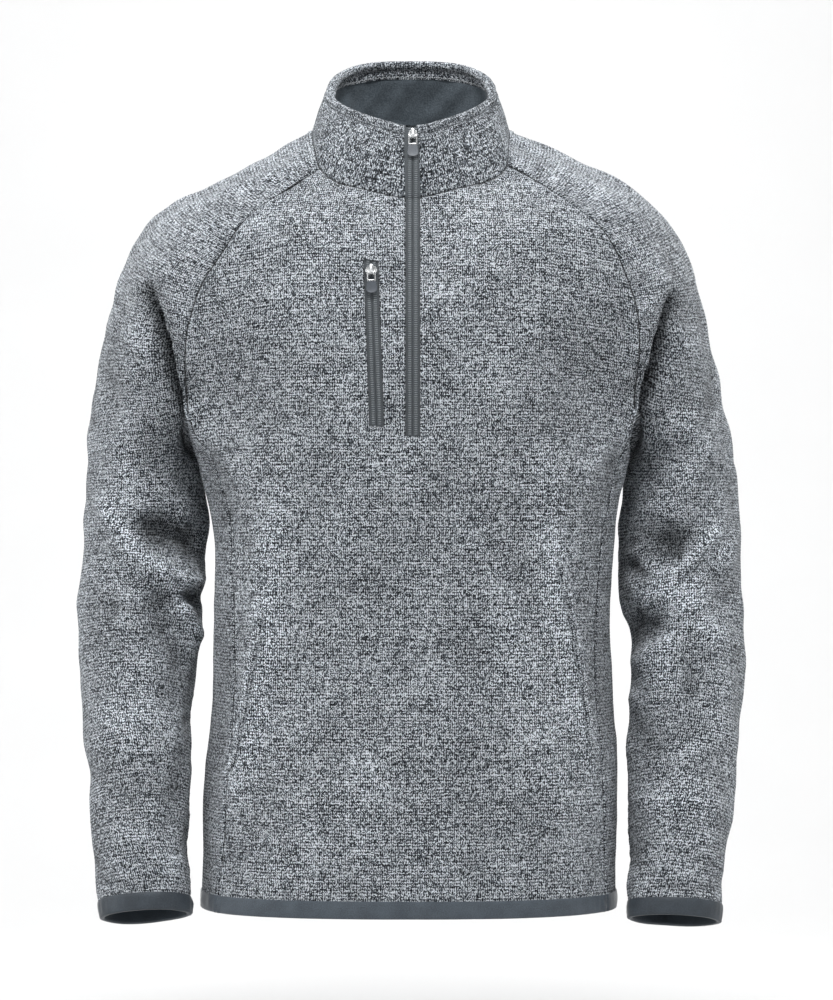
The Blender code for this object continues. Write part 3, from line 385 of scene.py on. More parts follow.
# Fullness of the sides below the armpits, in front of the sleeves.
SWELLS = table("x y z height wide high", """
-196 -14 -300 5 24 26
202 -14 -304 5 24 26""")


# ---------------------------------------------------------------- curves
def spline(knots: Array, values: Array, where: Array) -> Array:
    """Reads the smooth curve through values at knots.

    Args:
        knots: Rising places of the values.
        values: One value, point or row of points a knot.
        where: Places to read.

    Returns:
        One value, point or row of points a place.
    """
    step = np.diff(knots)
    tall = (-1,) + (1,) * (values.ndim - 1)
    slope = np.diff(values, axis=0) / step.reshape(tall)
    count = len(knots)
    system = np.eye(count)
    load = np.zeros_like(values)
    for i in range(1, count - 1):
        system[i, i - 1:i + 2] = step[i - 1], 2 * (step[i - 1] + step[i]), step[i]
        load[i] = 6 * (slope[i] - slope[i - 1])
    bend = np.linalg.solve(system, load.reshape(count, -1)).reshape(values.shape)
    span = np.clip(np.searchsorted(knots, where, side="right") - 1, 0, count - 2)
    high = ((where - knots[span]) / step[span]).reshape(tall)
    low = 1 - high
    curl = (low ** 3 - low) * bend[span] + (high ** 3 - high) * bend[span + 1]
    return low * values[span] + high * values[span + 1] + curl * (step[span] ** 2 / 6).reshape(tall)


def curve(points: Array, places: Array) -> Array:
    """Reads the smooth curve through points, or through rows of points.

    Args:
        points: The points or rows, in order.
        places: Where to read, counted in points.

    Returns:
        One point or row a place.
    """
    points = np.asarray(points, float)
    gaps = np.linalg.norm(np.diff(points, axis=0), axis=-1).reshape(len(points) - 1, -1).mean(axis=1)
    knots = np.concatenate(([0.0], np.cumsum(gaps)))
    return spline(knots, points, np.interp(places, np.arange(len(points)), knots))


def loop_curve(loop: Array, middle: int, places: Array) -> Array:
    """Reads a closed loop of stations.

    Args:
        loop: The stations.
        middle: The station that counts as 0.
        places: Where to read, counted in stations from the middle one.

    Returns:
        One point a place.
    """
    count = len(loop)
    opened = loop[(middle - count // 2 + np.arange(count + 1)) % count]
    return curve(opened, count // 2 + np.asarray(places, float))


def at_x(loop: Array, x: float) -> float:
    """The place, counted from the centre front, where a loop passes x."""
    places = np.linspace(-1.9, 1.9, 153)
    return float(np.interp(x, loop_curve(loop, 0, places)[:, 0], places))


def gathered(start: float, end: float, count: int, share: float = 0.55) -> Array:
    """Places from start up to end, closer together near both, so that seams are fine.

    Args:
        start: First place.
        end: The place after the last.
        count: Number of places.
        share: 0 spreads them evenly.

    Returns:
        The places, without end.
    """
    even = np.arange(count) / count
    return start + (end - start) * (even * (1 - share) + share * (1 - np.cos(math.pi * even)) / 2)


def stretches(keys: list[float], counts: tuple[int, ...]) -> Array:
    """Places through keys, with the last key, gathered at each of them."""
    return np.concatenate([gathered(a, b, n) for a, b, n in zip(keys[:-1], keys[1:], counts)] + [[keys[-1]]])


def ripple(points: Array, pitch: float, seed: int, waves: int = 7) -> Array:
    """A smooth uneven pattern from crossing waves, about -1 to 1.

    Args:
        points: Where to read it.
        pitch: The waves' typical length.
        seed: Chooses their directions.
        waves: Their number.

    Returns:
        One value a point.
    """
    draw = np.random.RandomState(seed)
    total = np.zeros(len(points))
    for _ in range(waves):
        way = draw.normal(size=3)
        way *= 2 * math.pi / pitch * draw.uniform(0.6, 1.5) / np.linalg.norm(way)
        total += np.sin(points @ way + draw.uniform(0, 2 * math.pi))
    return total / math.sqrt(waves)


# ---------------------------------------------------------------- the cut of the garment
@dataclass
class Pattern:
    """Sections of the garment and the nets that smooth curves draw through them."""

    front_columns: tuple[int, ...] = (56, 5, 9, 5, 66)     # to and across each of the two slots, and on
    back_columns: int = 128
    under_columns: int = 26
    cap_columns: int = 92
    body_rows: tuple[int, ...] = (6, 128, 4, 4)     # to the binding's top, both slots' feet, the underarm
    yoke_rows: tuple[int, ...] = (54, 40)           # to the pocket slot's top, and the neck
    sleeve_rows: tuple[int, ...] = (6, 140)         # to the binding's top, and the underarm
    widest_y: float = WIDEST_Y

    def body_loop(self, row: int) -> Array:
        """Twelve stations round one ring of the body, from centre front towards the wearer's left."""
        z = BODY["z"][row]

        def station(x: float, half_width: float, depth: float) -> tuple[float, float, float]:
            """A point of the ring's squared oval."""
            reach = 1 - min(abs(x) / half_width, 1) ** SECTION_ROUNDNESS
            return x, self.widest_y + (depth - self.widest_y) * reach ** (1 / SECTION_ROUNDNESS), z

        front, back = BODY["front"][row], BODY["back"][row]
        loop = {}
        for side, sign in (("left", 1), ("right", -1)):
            half = BODY[side][row]
            seam, back_seam = BODY["seam_" + side][row], BODY["back_seam"][row]
            loop[side] = [station(sign * seam / 2, half, front), station(sign * seam, half, front),
                          (sign * half, self.widest_y, z),
                          station(sign * back_seam, half, back), station(sign * back_seam / 2, half, back)]
        return np.array([(0, front, z), *loop["left"], (0, back, z), *loop["right"][::-1]])

    @staticmethod
    def rows_of(sizes: Columns) -> Array:
        """A table's x, y and z side by side."""
        return np.column_stack((sizes["x"], sizes["y"], sizes["z"]))

    @staticmethod
    def cap_arc(seam: Array, crown: Array) -> list[Array]:
        """Two stations that round the shoulder between a raglan seam and the crown."""
        corner = np.array((seam[0], crown[1], (seam[2] + crown[2]) / 2))
        arc = []
        for turn in (math.radians(30), math.radians(60)):
            across = math.cos(turn) ** (2 / SLEEVE_ROUNDNESS)
            along = math.sin(turn) ** (2 / SLEEVE_ROUNDNESS)
            arc.append(corner + (seam - corner) * across + (crown - corner) * along)
        return arc

    def yoke_loop(self, row: int) -> Array:
        """Twenty stations round one loop of the yoke, from centre front towards the wearer's left."""
        front = np.array((0, CENTRE["front_y"][row], CENTRE["front_z"][row]))
        back = np.array((0, CENTRE["back_y"][row], CENTRE["back_z"][row]))
        loop = {}
        for side, sign in (("left", 1), ("right", -1)):
            seam = self.rows_of(FRONT_SEAM_LEFT if sign > 0 else FRONT_SEAM_RIGHT)[row]
            crown = self.rows_of(CROWN_LEFT if sign > 0 else CROWN_RIGHT)[row]
            back_seam = self.rows_of(BACK_SEAM)[row] * (sign, 1, 1)
            front_middle = (front + seam) / 2 + (0, CENTRE["front_swell"][row], CENTRE["front_drop"][row])
            back_middle = (back + back_seam) / 2 + (0, CENTRE["back_swell"][row], 0)
            loop[side] = [front_middle, seam, *self.cap_arc(seam, crown), crown,
                          *self.cap_arc(back_seam, crown)[::-1], back_seam, back_middle]
        return np.array([front, *loop["left"], back, *loop["right"][::-1]])

    def sleeve_ring(self, sizes: Columns, row: int, sign: int) -> Array:
        """Ten stations round one ring of a sleeve, front armpit first, square to the sleeve's line."""
        middles = self.rows_of(sizes)
        line = unit(middles[min(row + 1, len(middles) - 1)] - middles[max(row - 1, 0)])
        ring = []
        for angle in RING_ANGLES:
            turn = math.radians(angle)
            reach = (-sign * sizes["half_width"][row] * math.cos(turn),
                     -sizes["half_depth"][row] * math.sin(turn))
            out = np.array((*reach, -(reach[0] * line[0] + reach[1] * line[1]) / line[2]))
            ring.append(middles[row] + out * math.hypot(*reach) / np.linalg.norm(out))
        return np.array(ring)

    def underarm_line(self, sign: int, places: Array) -> Array:
        """The seam under an arm, read from 0, the armpit's front end, to 4, its back end."""
        seam = self.rows_of(FRONT_SEAM_LEFT if sign > 0 else FRONT_SEAM_RIGHT)[0]
        ends = [seam, *(self.rows_of(UNDERARM) * (sign, 1, 1)), self.rows_of(BACK_SEAM)[0] * (sign, 1, 1)]
        return curve(ends, places)

    def front_places(self, loop: Array) -> Array:
        """Columns of the front panel on one loop, with one on each edge of both slots."""
        share = (loop[0][2] - POCKET_TOP) / (POCKET_BOTTOM - POCKET_TOP)
        pocket = POCKET_X_TOP + (POCKET_X_BOTTOM - POCKET_X_TOP) * min(max(share, 0), 1)
        edges = [at_x(loop, middle + half) for middle in (pocket, ZIP_X) for half in (-SLOT / 2, SLOT / 2)]
        return stretches([-2.0, *edges, 2.0], self.front_columns)

    @staticmethod
    def fit_edge(net: Array, edge: Array, at_start: bool) -> Array:
        """Moves one edge column of a net to a seam line, and its neighbours by less and less."""
        away = np.linspace(0, 1, net.shape[1])
        share = np.clip(1 - 2.5 * (away if at_start else 1 - away), 0, 1) ** 2
        gap = edge - net[:, 0 if at_start else -1]
        return net + gap[:, None, :] * share[None, :, None]

    def nets(self) -> dict[str, Array]:
        """The outer faces of all panels, before folds, as nets of rows by columns by x, y, z."""
        body = [self.body_loop(row) for row in range(len(BODY["z"]))]
        yoke = [self.yoke_loop(row) for row in range(len(CENTRE["front_z"]))]
        top = len(body)
        heights = [ring[0][2] for ring in body + yoke]
        zip_end, pocket_low, pocket_high = np.interp(
            (ZIP_BOTTOM, POCKET_BOTTOM, POCKET_TOP), heights, np.arange(len(heights)))
        body_levels = stretches([0.0, HEM_LEVEL, zip_end, pocket_low, float(top)], self.body_rows)
        yoke_levels = stretches([float(top), pocket_high, float(top + len(yoke) - 1)], self.yoke_rows)
        levels = np.concatenate((body_levels, yoke_levels[1:]))
        under_row = len(body_levels) - 1

        made = {"front_panel": curve([loop_curve(r, 0, self.front_places(r)) for r in body + yoke], levels)}
        back = stretches([-2.0, 2.0], (self.back_columns,))
        made["back_panel"] = curve([loop_curve(r, len(r) // 2, back) for r in body + yoke], levels)
        front, rear = made["front_panel"], made["back_panel"]
        for side, sign, sizes in (("left", 1, SLEEVE_LEFT), ("right", -1, SLEEVE_RIGHT)):
            front_edge = front[:, -1 if sign > 0 else 0]
            back_edge = rear[:, 0 if sign > 0 else -1]
            under = stretches([0.0, 4.0], (self.under_columns,))
            arm_seam = self.underarm_line(sign, under)

            middle = 3 if sign > 0 else 9
            panel = curve([loop_curve(r, middle, sign * (under / 2 - 1)) for r in body] + [arm_seam], body_levels)
            panel = self.fit_edge(panel, front_edge[:under_row + 1], True)
            panel = self.fit_edge(panel, back_edge[:under_row + 1], False)
            panel[-1] = arm_seam
            made[side + "_side_panel"] = panel if sign > 0 else panel[:, ::-1]

            rings = [self.sleeve_ring(sizes, row, sign) for row in range(len(sizes["z"]))]
            round_cap = stretches([-3.0, 3.0], (self.cap_columns,))
            crown = 5 if sign > 0 else 15
            lines = [loop_curve(r, 3, round_cap) for r in rings]
            lines += [loop_curve(r, crown, sign * round_cap) for r in yoke]
            sleeve_levels = stretches([0.0, CUFF_LEVEL, float(len(rings))], self.sleeve_rows)
            arm_row = len(sleeve_levels) - 1
            cap = curve(lines, np.concatenate((sleeve_levels, yoke_levels[1:] - top + len(rings))))
            upper = self.fit_edge(cap[arm_row:], front_edge[under_row:], True)
            upper = self.fit_edge(upper, back_edge[under_row:], False)
            inner = curve([loop_curve(r, 8, 2 - under) for r in rings] + [arm_seam], sleeve_levels)
            inner = self.fit_edge(inner, cap[:arm_row + 1, 0], True)
            inner = self.fit_edge(inner, cap[:arm_row + 1, -1], False)
            inner[-1] = arm_seam
            tube = np.concatenate((cap[:arm_row + 1], inner[:, ::-1][:, 1:-1]), axis=1)
            made[side + "_sleeve_tube"] = tube if sign > 0 else tube[:, ::-1]
            made[side + "_sleeve_cap"] = upper if sign > 0 else upper[:, ::-1]
        return made


@dataclass
class CollarForm:
    """The stand collar's outer face, from the neck seam up to its rolled edge."""

    rows: int = 26
    ease: float = 0.036         # how far from the slot its opening pulls the rim

    def net(self, base: Array) -> Array:
        """The face as a net.

        Args:
            base: The neck seam, round from the slot's left edge to its right edge.

        Returns:
            Rows of points, each from slot to slot.
        """
        middle = (RIM["left"] - RIM["right"]) / 2
        rim = []
        for point in base:
            turn = math.atan2(point[1] / 0.085, (point[0] - middle) / 0.094)
            half = RIM["left"] if math.cos(turn) > 0 else RIM["right"]
            behind = math.sin(turn) > 0
            depth = RIM["back"] if behind else -RIM["front"]
            power = 2 / RIM["square_back" if behind else "square_front"]
            x = math.copysign(half * abs(math.cos(turn)) ** power, math.cos(turn))
            y = math.copysign(depth * abs(math.sin(turn)) ** power, math.sin(turn))
            rim.append((x + ZIP_X * max(0, -math.sin(turn)) ** 3, y))
        rim = np.array(rim)
        for end, x in ((0, ZIP_X + RIM_SLOT_LEFT), (-1, ZIP_X - RIM_SLOT_RIGHT)):
            near = np.clip(1 - np.linalg.norm(base - base[end], axis=1) / self.ease, 0, 1)
            rim[:, 0] += (x - rim[end, 0]) * near
        climb = (rim[:, 1] - RIM["front"]) / (RIM["back"] - RIM["front"])
        rim = np.column_stack((rim, RIM["front_z"] + (RIM["back_z"] - RIM["front_z"]) * climb))
        out = unit(rim * (1, 1, 0))
        return np.array([base * (1 - share) + rim * share + out * COLLAR_BULGE * math.sin(math.pi * share)
                         for share in np.linspace(0, 1, self.rows + 1)])


def quads_of(numbers: Array, closed: bool) -> Array:
    """The four-sided faces of a net, each with its corners in outward order."""
    if closed:
        numbers = np.concatenate((numbers, numbers[:, :1]), axis=1)
    return np.stack((numbers[:-1, :-1], numbers[:-1, 1:], numbers[1:, 1:], numbers[1:, :-1]), axis=-1)


def bend_line(folds: Columns, row: int, count: int = 13) -> Array:
    """Places along the bend through a row's three points, as seen from the front."""
    at = np.linspace(0, 1, count)
    start, middle, end = (np.array((folds[f"x{i}"][row], folds[f"z{i}"][row])) for i in range(3))
    return (np.outer((1 - at) * (1 - 2 * at), start) + np.outer(4 * at * (1 - at), middle)
            + np.outer(at * (2 * at - 1), end))


def run_lengths(points: Array, closed: bool = False) -> Array:
    """Distances along a line of points, with the way back to the first at the end if closed."""
    if closed:
        points = np.concatenate((points, points[:1]))
    return np.concatenate(([0.0], np.cumsum(np.linalg.norm(np.diff(points, axis=0), axis=1))))


def unit(directions: Array) -> Array:
    """Directions made one long."""
    return directions / np.linalg.norm(directions, axis=-1)[..., None]


def smooth_step(share: Array) -> Array:
    """An even rise from 0 to 1 that starts and ends gently."""
    share = np.clip(share, 0, 1)
    return share ** 2 * (3 - 2 * share)


def near_line(flat: Array, line: Array) -> tuple[Array, Array, Array]:
    """How places lie to a line.

    Args:
        flat: Places in the plane.
        line: The line's points.

    Returns:
        Each place's distance, where along the line from 0 to 1, and the side of the line, -1 or 1.
    """
    nearest = np.full(len(flat), math.inf)
    place, hand = np.zeros(len(flat)), np.ones(len(flat))
    for k in range(len(line) - 1):
        run = line[k + 1] - line[k]
        off = flat - line[k]
        share = np.clip(off @ run / (run @ run), 0, 1)
        away = np.linalg.norm(off - share[:, None] * run, axis=1)
        closer = away < nearest
        nearest[closer] = away[closer]
        place[closer] = ((k + share) / (len(line) - 1))[closer]
        hand[closer] = np.sign(run[0] * off[:, 1] - run[1] * off[:, 0])[closer]
    return nearest, place, hand


@dataclass
class Cloth:
    """The garment's outer face as one welded net, folded, and cut into its panels."""

    pattern: Pattern = field(default_factory=Pattern)
    collar: CollarForm = field(default_factory=CollarForm)
    groove: float = 0.0010          # the seams' valley
    roll: float = 0.0007            # the swell of turned edges beside a seam
    roll_at: float = 0.0032
    topstitch_at: float = 0.0058
    topstitch_sink: float = 0.0004

    def __post_init__(self) -> None:
        """Builds, welds and folds the nets."""
        nets = self.pattern.nets()
        front = nets["front_panel"]
        edge = np.cumsum(self.pattern.front_columns)
        self.pocket_columns, self.zip_columns = (edge[0], edge[1]), (edge[2], edge[3])
        neck = np.concatenate((front[-1, edge[3]:], nets["left_sleeve_cap"][-1, 1:],
                               nets["back_panel"][-1, 1:], nets["right_sleeve_cap"][-1, 1:],
                               front[-1, 1:edge[2] + 1]))
        nets["collar"] = self.collar.net(neck)
        rows = self.pattern.body_rows
        self.slot_rows = {"zip": sum(rows[:2]), "low": sum(rows[:3]),
                          "high": sum(rows) + self.pattern.yoke_rows[0]}
        self.weld(nets)
        self.faces = {name: quads_of(net, name.endswith("tube")) for name, net in self.nets.items()}
        self.refresh_normals()
        self.measure(nets)
        self.fold()

    def weld(self, nets: dict[str, Array]) -> None:
        """Joins the nets at their shared edges."""
        every = np.concatenate([net.reshape(-1, 3) for net in nets.values()])
        keys = np.round(every, 6) + 0.0
        _, first, number = np.unique(keys, axis=0, return_index=True, return_inverse=True)
        number = number.reshape(-1)
        self.points = every[first]
        self.nets, start = {}, 0
        for name, net in nets.items():
            size = net.shape[0] * net.shape[1]
            self.nets[name] = number[start:start + size].reshape(net.shape[:2])
            start += size

    def refresh_normals(self) -> None:
        """Outward directions; along the seams under the arms the cloth turns back on itself, so down."""
        quads = np.concatenate([faces.reshape(-1, 4) for faces in self.faces.values()])
        across = self.points[quads[:, 2]] - self.points[quads[:, 0]]
        along = self.points[quads[:, 3]] - self.points[quads[:, 1]]
        face_normals = np.cross(across, along)
        normals = np.zeros_like(self.points)
        for corner in range(4):
            np.add.at(normals, quads[:, corner], face_normals)
        for side in ("left", "right"):
            under = self.nets[side + "_side_panel"][-1, 1:-1]
            size = np.linalg.norm(normals[under], axis=1)[:, None]
            normals[under] = normals[under] / size * 0.2 + (0, 0, -1)
        self.normals = unit(normals)

    def measure(self, nets: dict[str, Array]) -> None:
        """Lays each net out flat for its knit, and finds how far each point is from a seam."""
        self.flat, self.seam = {}, np.full(len(self.points), FAR)
        self.flat_seams: dict[str, int] = {}
        for name, net in nets.items():
            across = np.linalg.norm(np.diff(net, axis=1), axis=2)
            u = np.concatenate((np.zeros((len(net), 1)), np.cumsum(across, axis=1)), axis=1)
            along = np.linalg.norm(np.diff(net, axis=0), axis=2)
            if name.endswith("panel"):      # the body's courses stay level where its columns slant
                along = np.linalg.norm(np.diff(net[..., 1:], axis=0), axis=2)
            if name.endswith(("tube", "cap")):
                along = np.repeat(along.mean(axis=1, keepdims=True), net.shape[1], axis=1)
            v = np.concatenate((np.zeros((1, net.shape[1])), np.cumsum(along, axis=0)), axis=0)
            middle = self.middle_column(name, net.shape[1])
            self.flat[name] = np.stack((u - u[:, middle:middle + 1], v), axis=-1)
            near = np.full(net.shape[:2], FAR)
            if name.endswith(("panel", "cap")):
                near = np.minimum.reduce((near, u, u[:, -1:] - u, v[-1:] - v))
            if name.endswith("tube"):
                columns = net.shape[1]
                seam = columns - self.pattern.under_columns // 2 if name.startswith("left") else \
                    columns - self.pattern.cap_columns - self.pattern.under_columns // 2
                near = np.minimum(near, np.abs(u - u[:, seam:seam + 1]))
                self.flat_seams[name] = seam
                # only the part under the arm is sewn to the body
                cap = self.pattern.cap_columns
                under = slice(cap + 1, None) if name.startswith("left") else slice(0, columns - cap - 1)
                near[:, under] = np.minimum(near[:, under], (v[-1:] - v)[:, under])
            if name == "collar":
                near = np.minimum(near, v)
            # the slot edges count as seams: a groove beside them, and a painted shade line on the knit
            if name == "front_panel":
                low, high = self.slot_rows["low"], self.slot_rows["high"]
                for columns, rows in ((self.zip_columns, slice(self.slot_rows["zip"], None)),
                                      (self.pocket_columns, slice(low, high + 1))):
                    for column in columns:
                        near[rows] = np.minimum(near[rows], np.abs(u[rows] - u[rows, column:column + 1]))
            np.minimum.at(self.seam, self.nets[name].reshape(-1), near.reshape(-1))

    def middle_column(self, name: str, columns: int) -> int:
        """The column from which a net's knit is laid out both ways."""
        if name.endswith(("tube", "cap")):
            half = self.pattern.cap_columns // 2
            if name.endswith("tube") and name.startswith("right"):
                return columns - half - 1
            return half
        return columns // 2

    def arms(self) -> Array:
        """Which points belong to the sleeves."""
        on = np.zeros(len(self.points), bool)
        for side in ("left", "right"):
            on[self.nets[side + "_sleeve_tube"]] = True
            on[self.nets[side + "_sleeve_cap"]] = True
        return on

    def fold(self) -> None:
        """Lifts and sinks the cloth: the large folds, the small ones, pocket edges, seams and ease."""
        lift = np.zeros(len(self.points))
        arms = self.arms()
        flat = self.points[:, ::2]
        where = {"body": ~arms, "arms": arms, "both": np.ones(len(arms), bool)}
        for zone, side, folds in FOLDS + WRINKLES:
            facing = smooth_step((side * self.normals[:, 1] + 0.4) / 0.8)
            chosen = np.flatnonzero(where[zone] & (facing > 0))
            for row in range(len(folds["height"])):
                line = bend_line(folds, row)
                reach = 3 * folds["width"][row]
                low, high = line.min(axis=0) - reach, line.max(axis=0) + reach
                near = chosen[np.all((flat[chosen] > low) & (flat[chosen] < high), axis=1)]
                away, place, _ = near_line(flat[near], line)
                fade = 1 - (2 * place - 1) ** 4
                lift[near] += (folds["height"][row] * fade * facing[near]
                               * np.exp(-(away / folds["width"][row]) ** 2))
        lift += self.steps(POCKET_EDGES, ~arms, 1.0, 0.8)
        lift += self.steps(ARM_CREASES, np.ones(len(arms), bool), 0.3, 1.0)
        lift += self.side_swells() * ~arms
        lift += 0.0006 * ripple(self.points, 0.085, 3) + 0.00015 * ripple(self.points, 0.034, 5)
        lift[arms] += 0.0012 * ripple(self.points[arms], 0.05, 9)
        # kept for the knit, which paints shade into the hollows and a highlight on the ridges
        self.relief = lift.copy()
        lift += self.seam_relief()
        collar = self.nets["collar"]
        lift[collar] *= 0.35
        self.points = self.points + self.normals * lift[:, None]
        self.refresh_normals()

    def seam_relief(self) -> Array:
        """The valley, swell and topstitch groove beside every seam, puckered along it."""
        away = self.seam
        pucker = 1 + 0.8 * ripple(self.points, 0.011, 11)
        return (-self.groove * np.exp(-(away / 0.0013) ** 2)
                + self.roll * pucker * np.exp(-((away - self.roll_at) / 0.0022) ** 2)
                - self.topstitch_sink * np.exp(-((away - self.topstitch_at) / 0.0012) ** 2))

    def steps(self, edges: Columns, on: Array, inside: float, outside: float) -> Array:
        """Edges where the front's middle part stands over the cloth outside them.

        Args:
            edges: The edges' bends, heights and widths.
            on: Which points may move.
            inside: The share of the height by which the middle side is lifted.
            outside: The share by which the outer side sinks.

        Returns:
            How far each point is lifted.
        """
        lift = np.zeros(len(self.points))
        front = np.flatnonzero(on & (self.normals[:, 1] < 0.1))
        for row in range(len(edges["height"])):
            line = bend_line(edges, row, 25)
            away, place, hand = near_line(self.points[front][:, ::2], line)
            inward = away * hand * -np.sign(edges["x0"][row])
            rise = smooth_step((inward + 0.0015) / 0.003)
            fade = (1 - (2 * place - 1) ** 6) * (away < 0.08)
            shelf = np.exp(-np.abs(inward) / edges["width"][row])
            lift[front] += edges["height"][row] * shelf * fade * (inside * rise - outside * (1 - rise))
        return lift

    def side_swells(self) -> Array:
        """Round fullness of the cloth where a table gives one."""
        lift = np.zeros(len(self.points))
        for x, y, z, height, wide, high in zip(*SWELLS.values()):
            off = (self.points - (x, y, z)) / (SWELL_REACH, wide, high)
            lift += height * np.exp(-(off ** 2).sum(axis=1))
        return lift

    def panel(self, name: str) -> Pair:
        """One piece of cloth.

        Args:
            name: The panel's or sleeve's name.

        Returns:
            Its faces as corners by point number, and their flat places.
        """
        parts = [name + "_tube", name + "_cap"] if name.endswith("sleeve") else [name]
        faces, flats = [], []
        for part in parts:
            quads, flat = self.faces[part], self.flat[part]
            if part.endswith("tube"):
                flat = np.concatenate((flat, flat[:, :1]), axis=1)
                step = np.linalg.norm(np.diff(self.points[self.nets[part][:, (-1, 0)]], axis=1), axis=2)
                flat[:, -1, 0] = flat[:, -2, 0] + step[:, 0]
            corners = np.stack((flat[:-1, :-1], flat[:-1, 1:], flat[1:, 1:], flat[1:, :-1]), axis=2)
            if part.endswith("tube"):       # the knit is cut apart at the seam under the arm
                girth = flat[:, -1, 0] - flat[:, 0, 0]
                girth = np.stack((girth[:-1], girth[:-1], girth[1:], girth[1:]), axis=1)[:, None]
                seam = self.flat_seams[part]
                if part.startswith("left"):
                    corners[:, seam:, :, 0] -= girth
                else:
                    corners[:, :seam, :, 0] += girth
            keep = np.ones(quads.shape[:2], bool)
            if part == "front_panel":
                keep[self.slot_rows["zip"]:, self.zip_columns[0]:self.zip_columns[1]] = False
                low, high = self.slot_rows["low"], self.slot_rows["high"]
                keep[low:high, self.pocket_columns[0]:self.pocket_columns[1]] = False
            if part.endswith("cap"):
                corners[..., 1] += self.flat[name + "_tube"][-1].mean(axis=0)[1]
            faces.append(quads[keep])
            flats.append(corners[keep])
        return np.concatenate(faces), np.concatenate(flats)

    def line(self, ids: Array) -> Pair:
        """The cloth's face and outward directions at given points."""
        return self.points[ids], self.normals[ids]


def up_line(points: Array, normals: Array, heights: Array) -> Pair:
    """Points and directions at distances along a line of points, carried on past its ends."""
    length = run_lengths(points)
    heights = np.asarray(heights, float)
    inside = np.clip(heights, 0, length[-1])
    at = np.column_stack([np.interp(inside, length, points[:, axis]) for axis in range(3)])
    out = np.column_stack([np.interp(inside, length, normals[:, axis]) for axis in range(3)])
    first = (points[1] - points[0]) / (length[1] - length[0])
    last = (points[-1] - points[-2]) / (length[-1] - length[-2])
    at += np.minimum(heights, 0)[:, None] * first + np.maximum(heights - length[-1], 0)[:, None] * last
    return at, out


# Width and length of the cloth that each piece is cut from.
PANEL_CUTS = {"front_panel": (0.510, 0.660), "back_panel": (0.460, 0.720),
              "right_side_panel": (0.190, 0.470), "left_side_panel": (0.190, 0.470),
              "right_sleeve": (0.480, 0.760), "left_sleeve": (0.480, 0.760)}


# ---------------------------------------------------------------- meshes
def add_mesh(name: str, points: Array, faces: Array | list, finishes: list[Material],
             flat: Array | None = None, sharp_deg: float = 50) -> Thing:
    """An object of given points and faces, smooth but for its sharp edges.

    Args:
        name: The object's name.
        points: Its points.
        faces: Its faces, by point number.
        finishes: Its materials, in slot order.
        flat: Flat places of the faces' corners, in metres.
        sharp_deg: The bend from which an edge is sharp.

    Returns:
        The object, at the origin.
    """
    mesh = bpy.data.meshes.new(name)
    mesh.from_pydata(points.tolist(), [], faces if isinstance(faces, list) else faces.tolist())
    mesh.shade_smooth()
    mesh.set_sharp_from_angle(angle=math.radians(sharp_deg))
    for finish in finishes:
        mesh.materials.append(finish)
    if flat is not None:
        mesh.uv_layers.new(name="cloth").uv.foreach_set("vector", flat.astype(np.float32).ravel())
    thing = bpy.data.objects.new(name, mesh)
    bpy.context.scene.collection.objects.link(thing)
    return thing


def add_swept(name: str, rings: Array, finish: Material, closed: bool,
              across: Array, along: Array, sharp_deg: float = 50) -> Thing:
    """A skin drawn over rings of points.

    Args:
        name: The object's name.
        rings: Rings by points by x, y, z.
        finish: Its material.
        closed: Whether the last ring joins the first; otherwise both ends are shut.
        across: A flat place for each ring, and one more for the first again if closed.
        along: A flat place for each point of a ring, and one more for the first again.
        sharp_deg: The bend from which an edge is sharp.

    Returns:
        The object.
    """
    count, size = rings.shape[:2]
    here = np.arange(count * size).reshape(count, size)
    beside, after = np.roll(here, -1, axis=1), np.roll(here, -1, axis=0)
    last = count if closed else count - 1
    quads = np.stack((here, beside, np.roll(after, -1, axis=1), after), axis=-1)[:last].reshape(-1, 4)
    ring, spot = np.meshgrid(np.arange(last), np.arange(size), indexing="ij")
    flat = np.stack([np.stack((across[ring + r], along[spot + s]), axis=-1)
                     for r, s in ((0, 0), (0, 1), (1, 1), (1, 0))], axis=2).reshape(-1, 2)
    faces = quads.tolist()
    if not closed:
        faces += [here[0][::-1].tolist(), here[-1].tolist()]
        ends = [np.stack((np.full(size, across[end]), along[:-1][::way]), axis=-1) for end, way in ((0, -1), (-1, 1))]
        flat = np.concatenate((flat, *ends))
    thing = add_mesh(name, rings.reshape(-1, 3), faces, [finish], flat, sharp_deg)
    shape = bmesh.new()
    shape.from_mesh(thing.data)
    bmesh.ops.recalc_face_normals(shape, faces=shape.faces)
    shape.to_mesh(thing.data)
    shape.free()
    return thing


def set_reading(thing: Thing, name: str, metres: Array) -> None:
    """Keeps a distance for each point, in millimetres, for the finishes to read."""
    values = (metres / MM).astype(np.float32)
    thing.data.attributes.new(name, "FLOAT", "POINT").data.foreach_set("value", values)


def sew_on(piece: Thing, slot: str, node: str | None = None, body: str = BODY_NAME) -> None:
    """Fixes a piece to its body, hides the solid that it stands for, and says what it is made of."""
    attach(piece, body)
    if node:
        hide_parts(node)
    LOG.info("%s: %d faces, %s", piece.name, len(piece.data.polygons), slot)


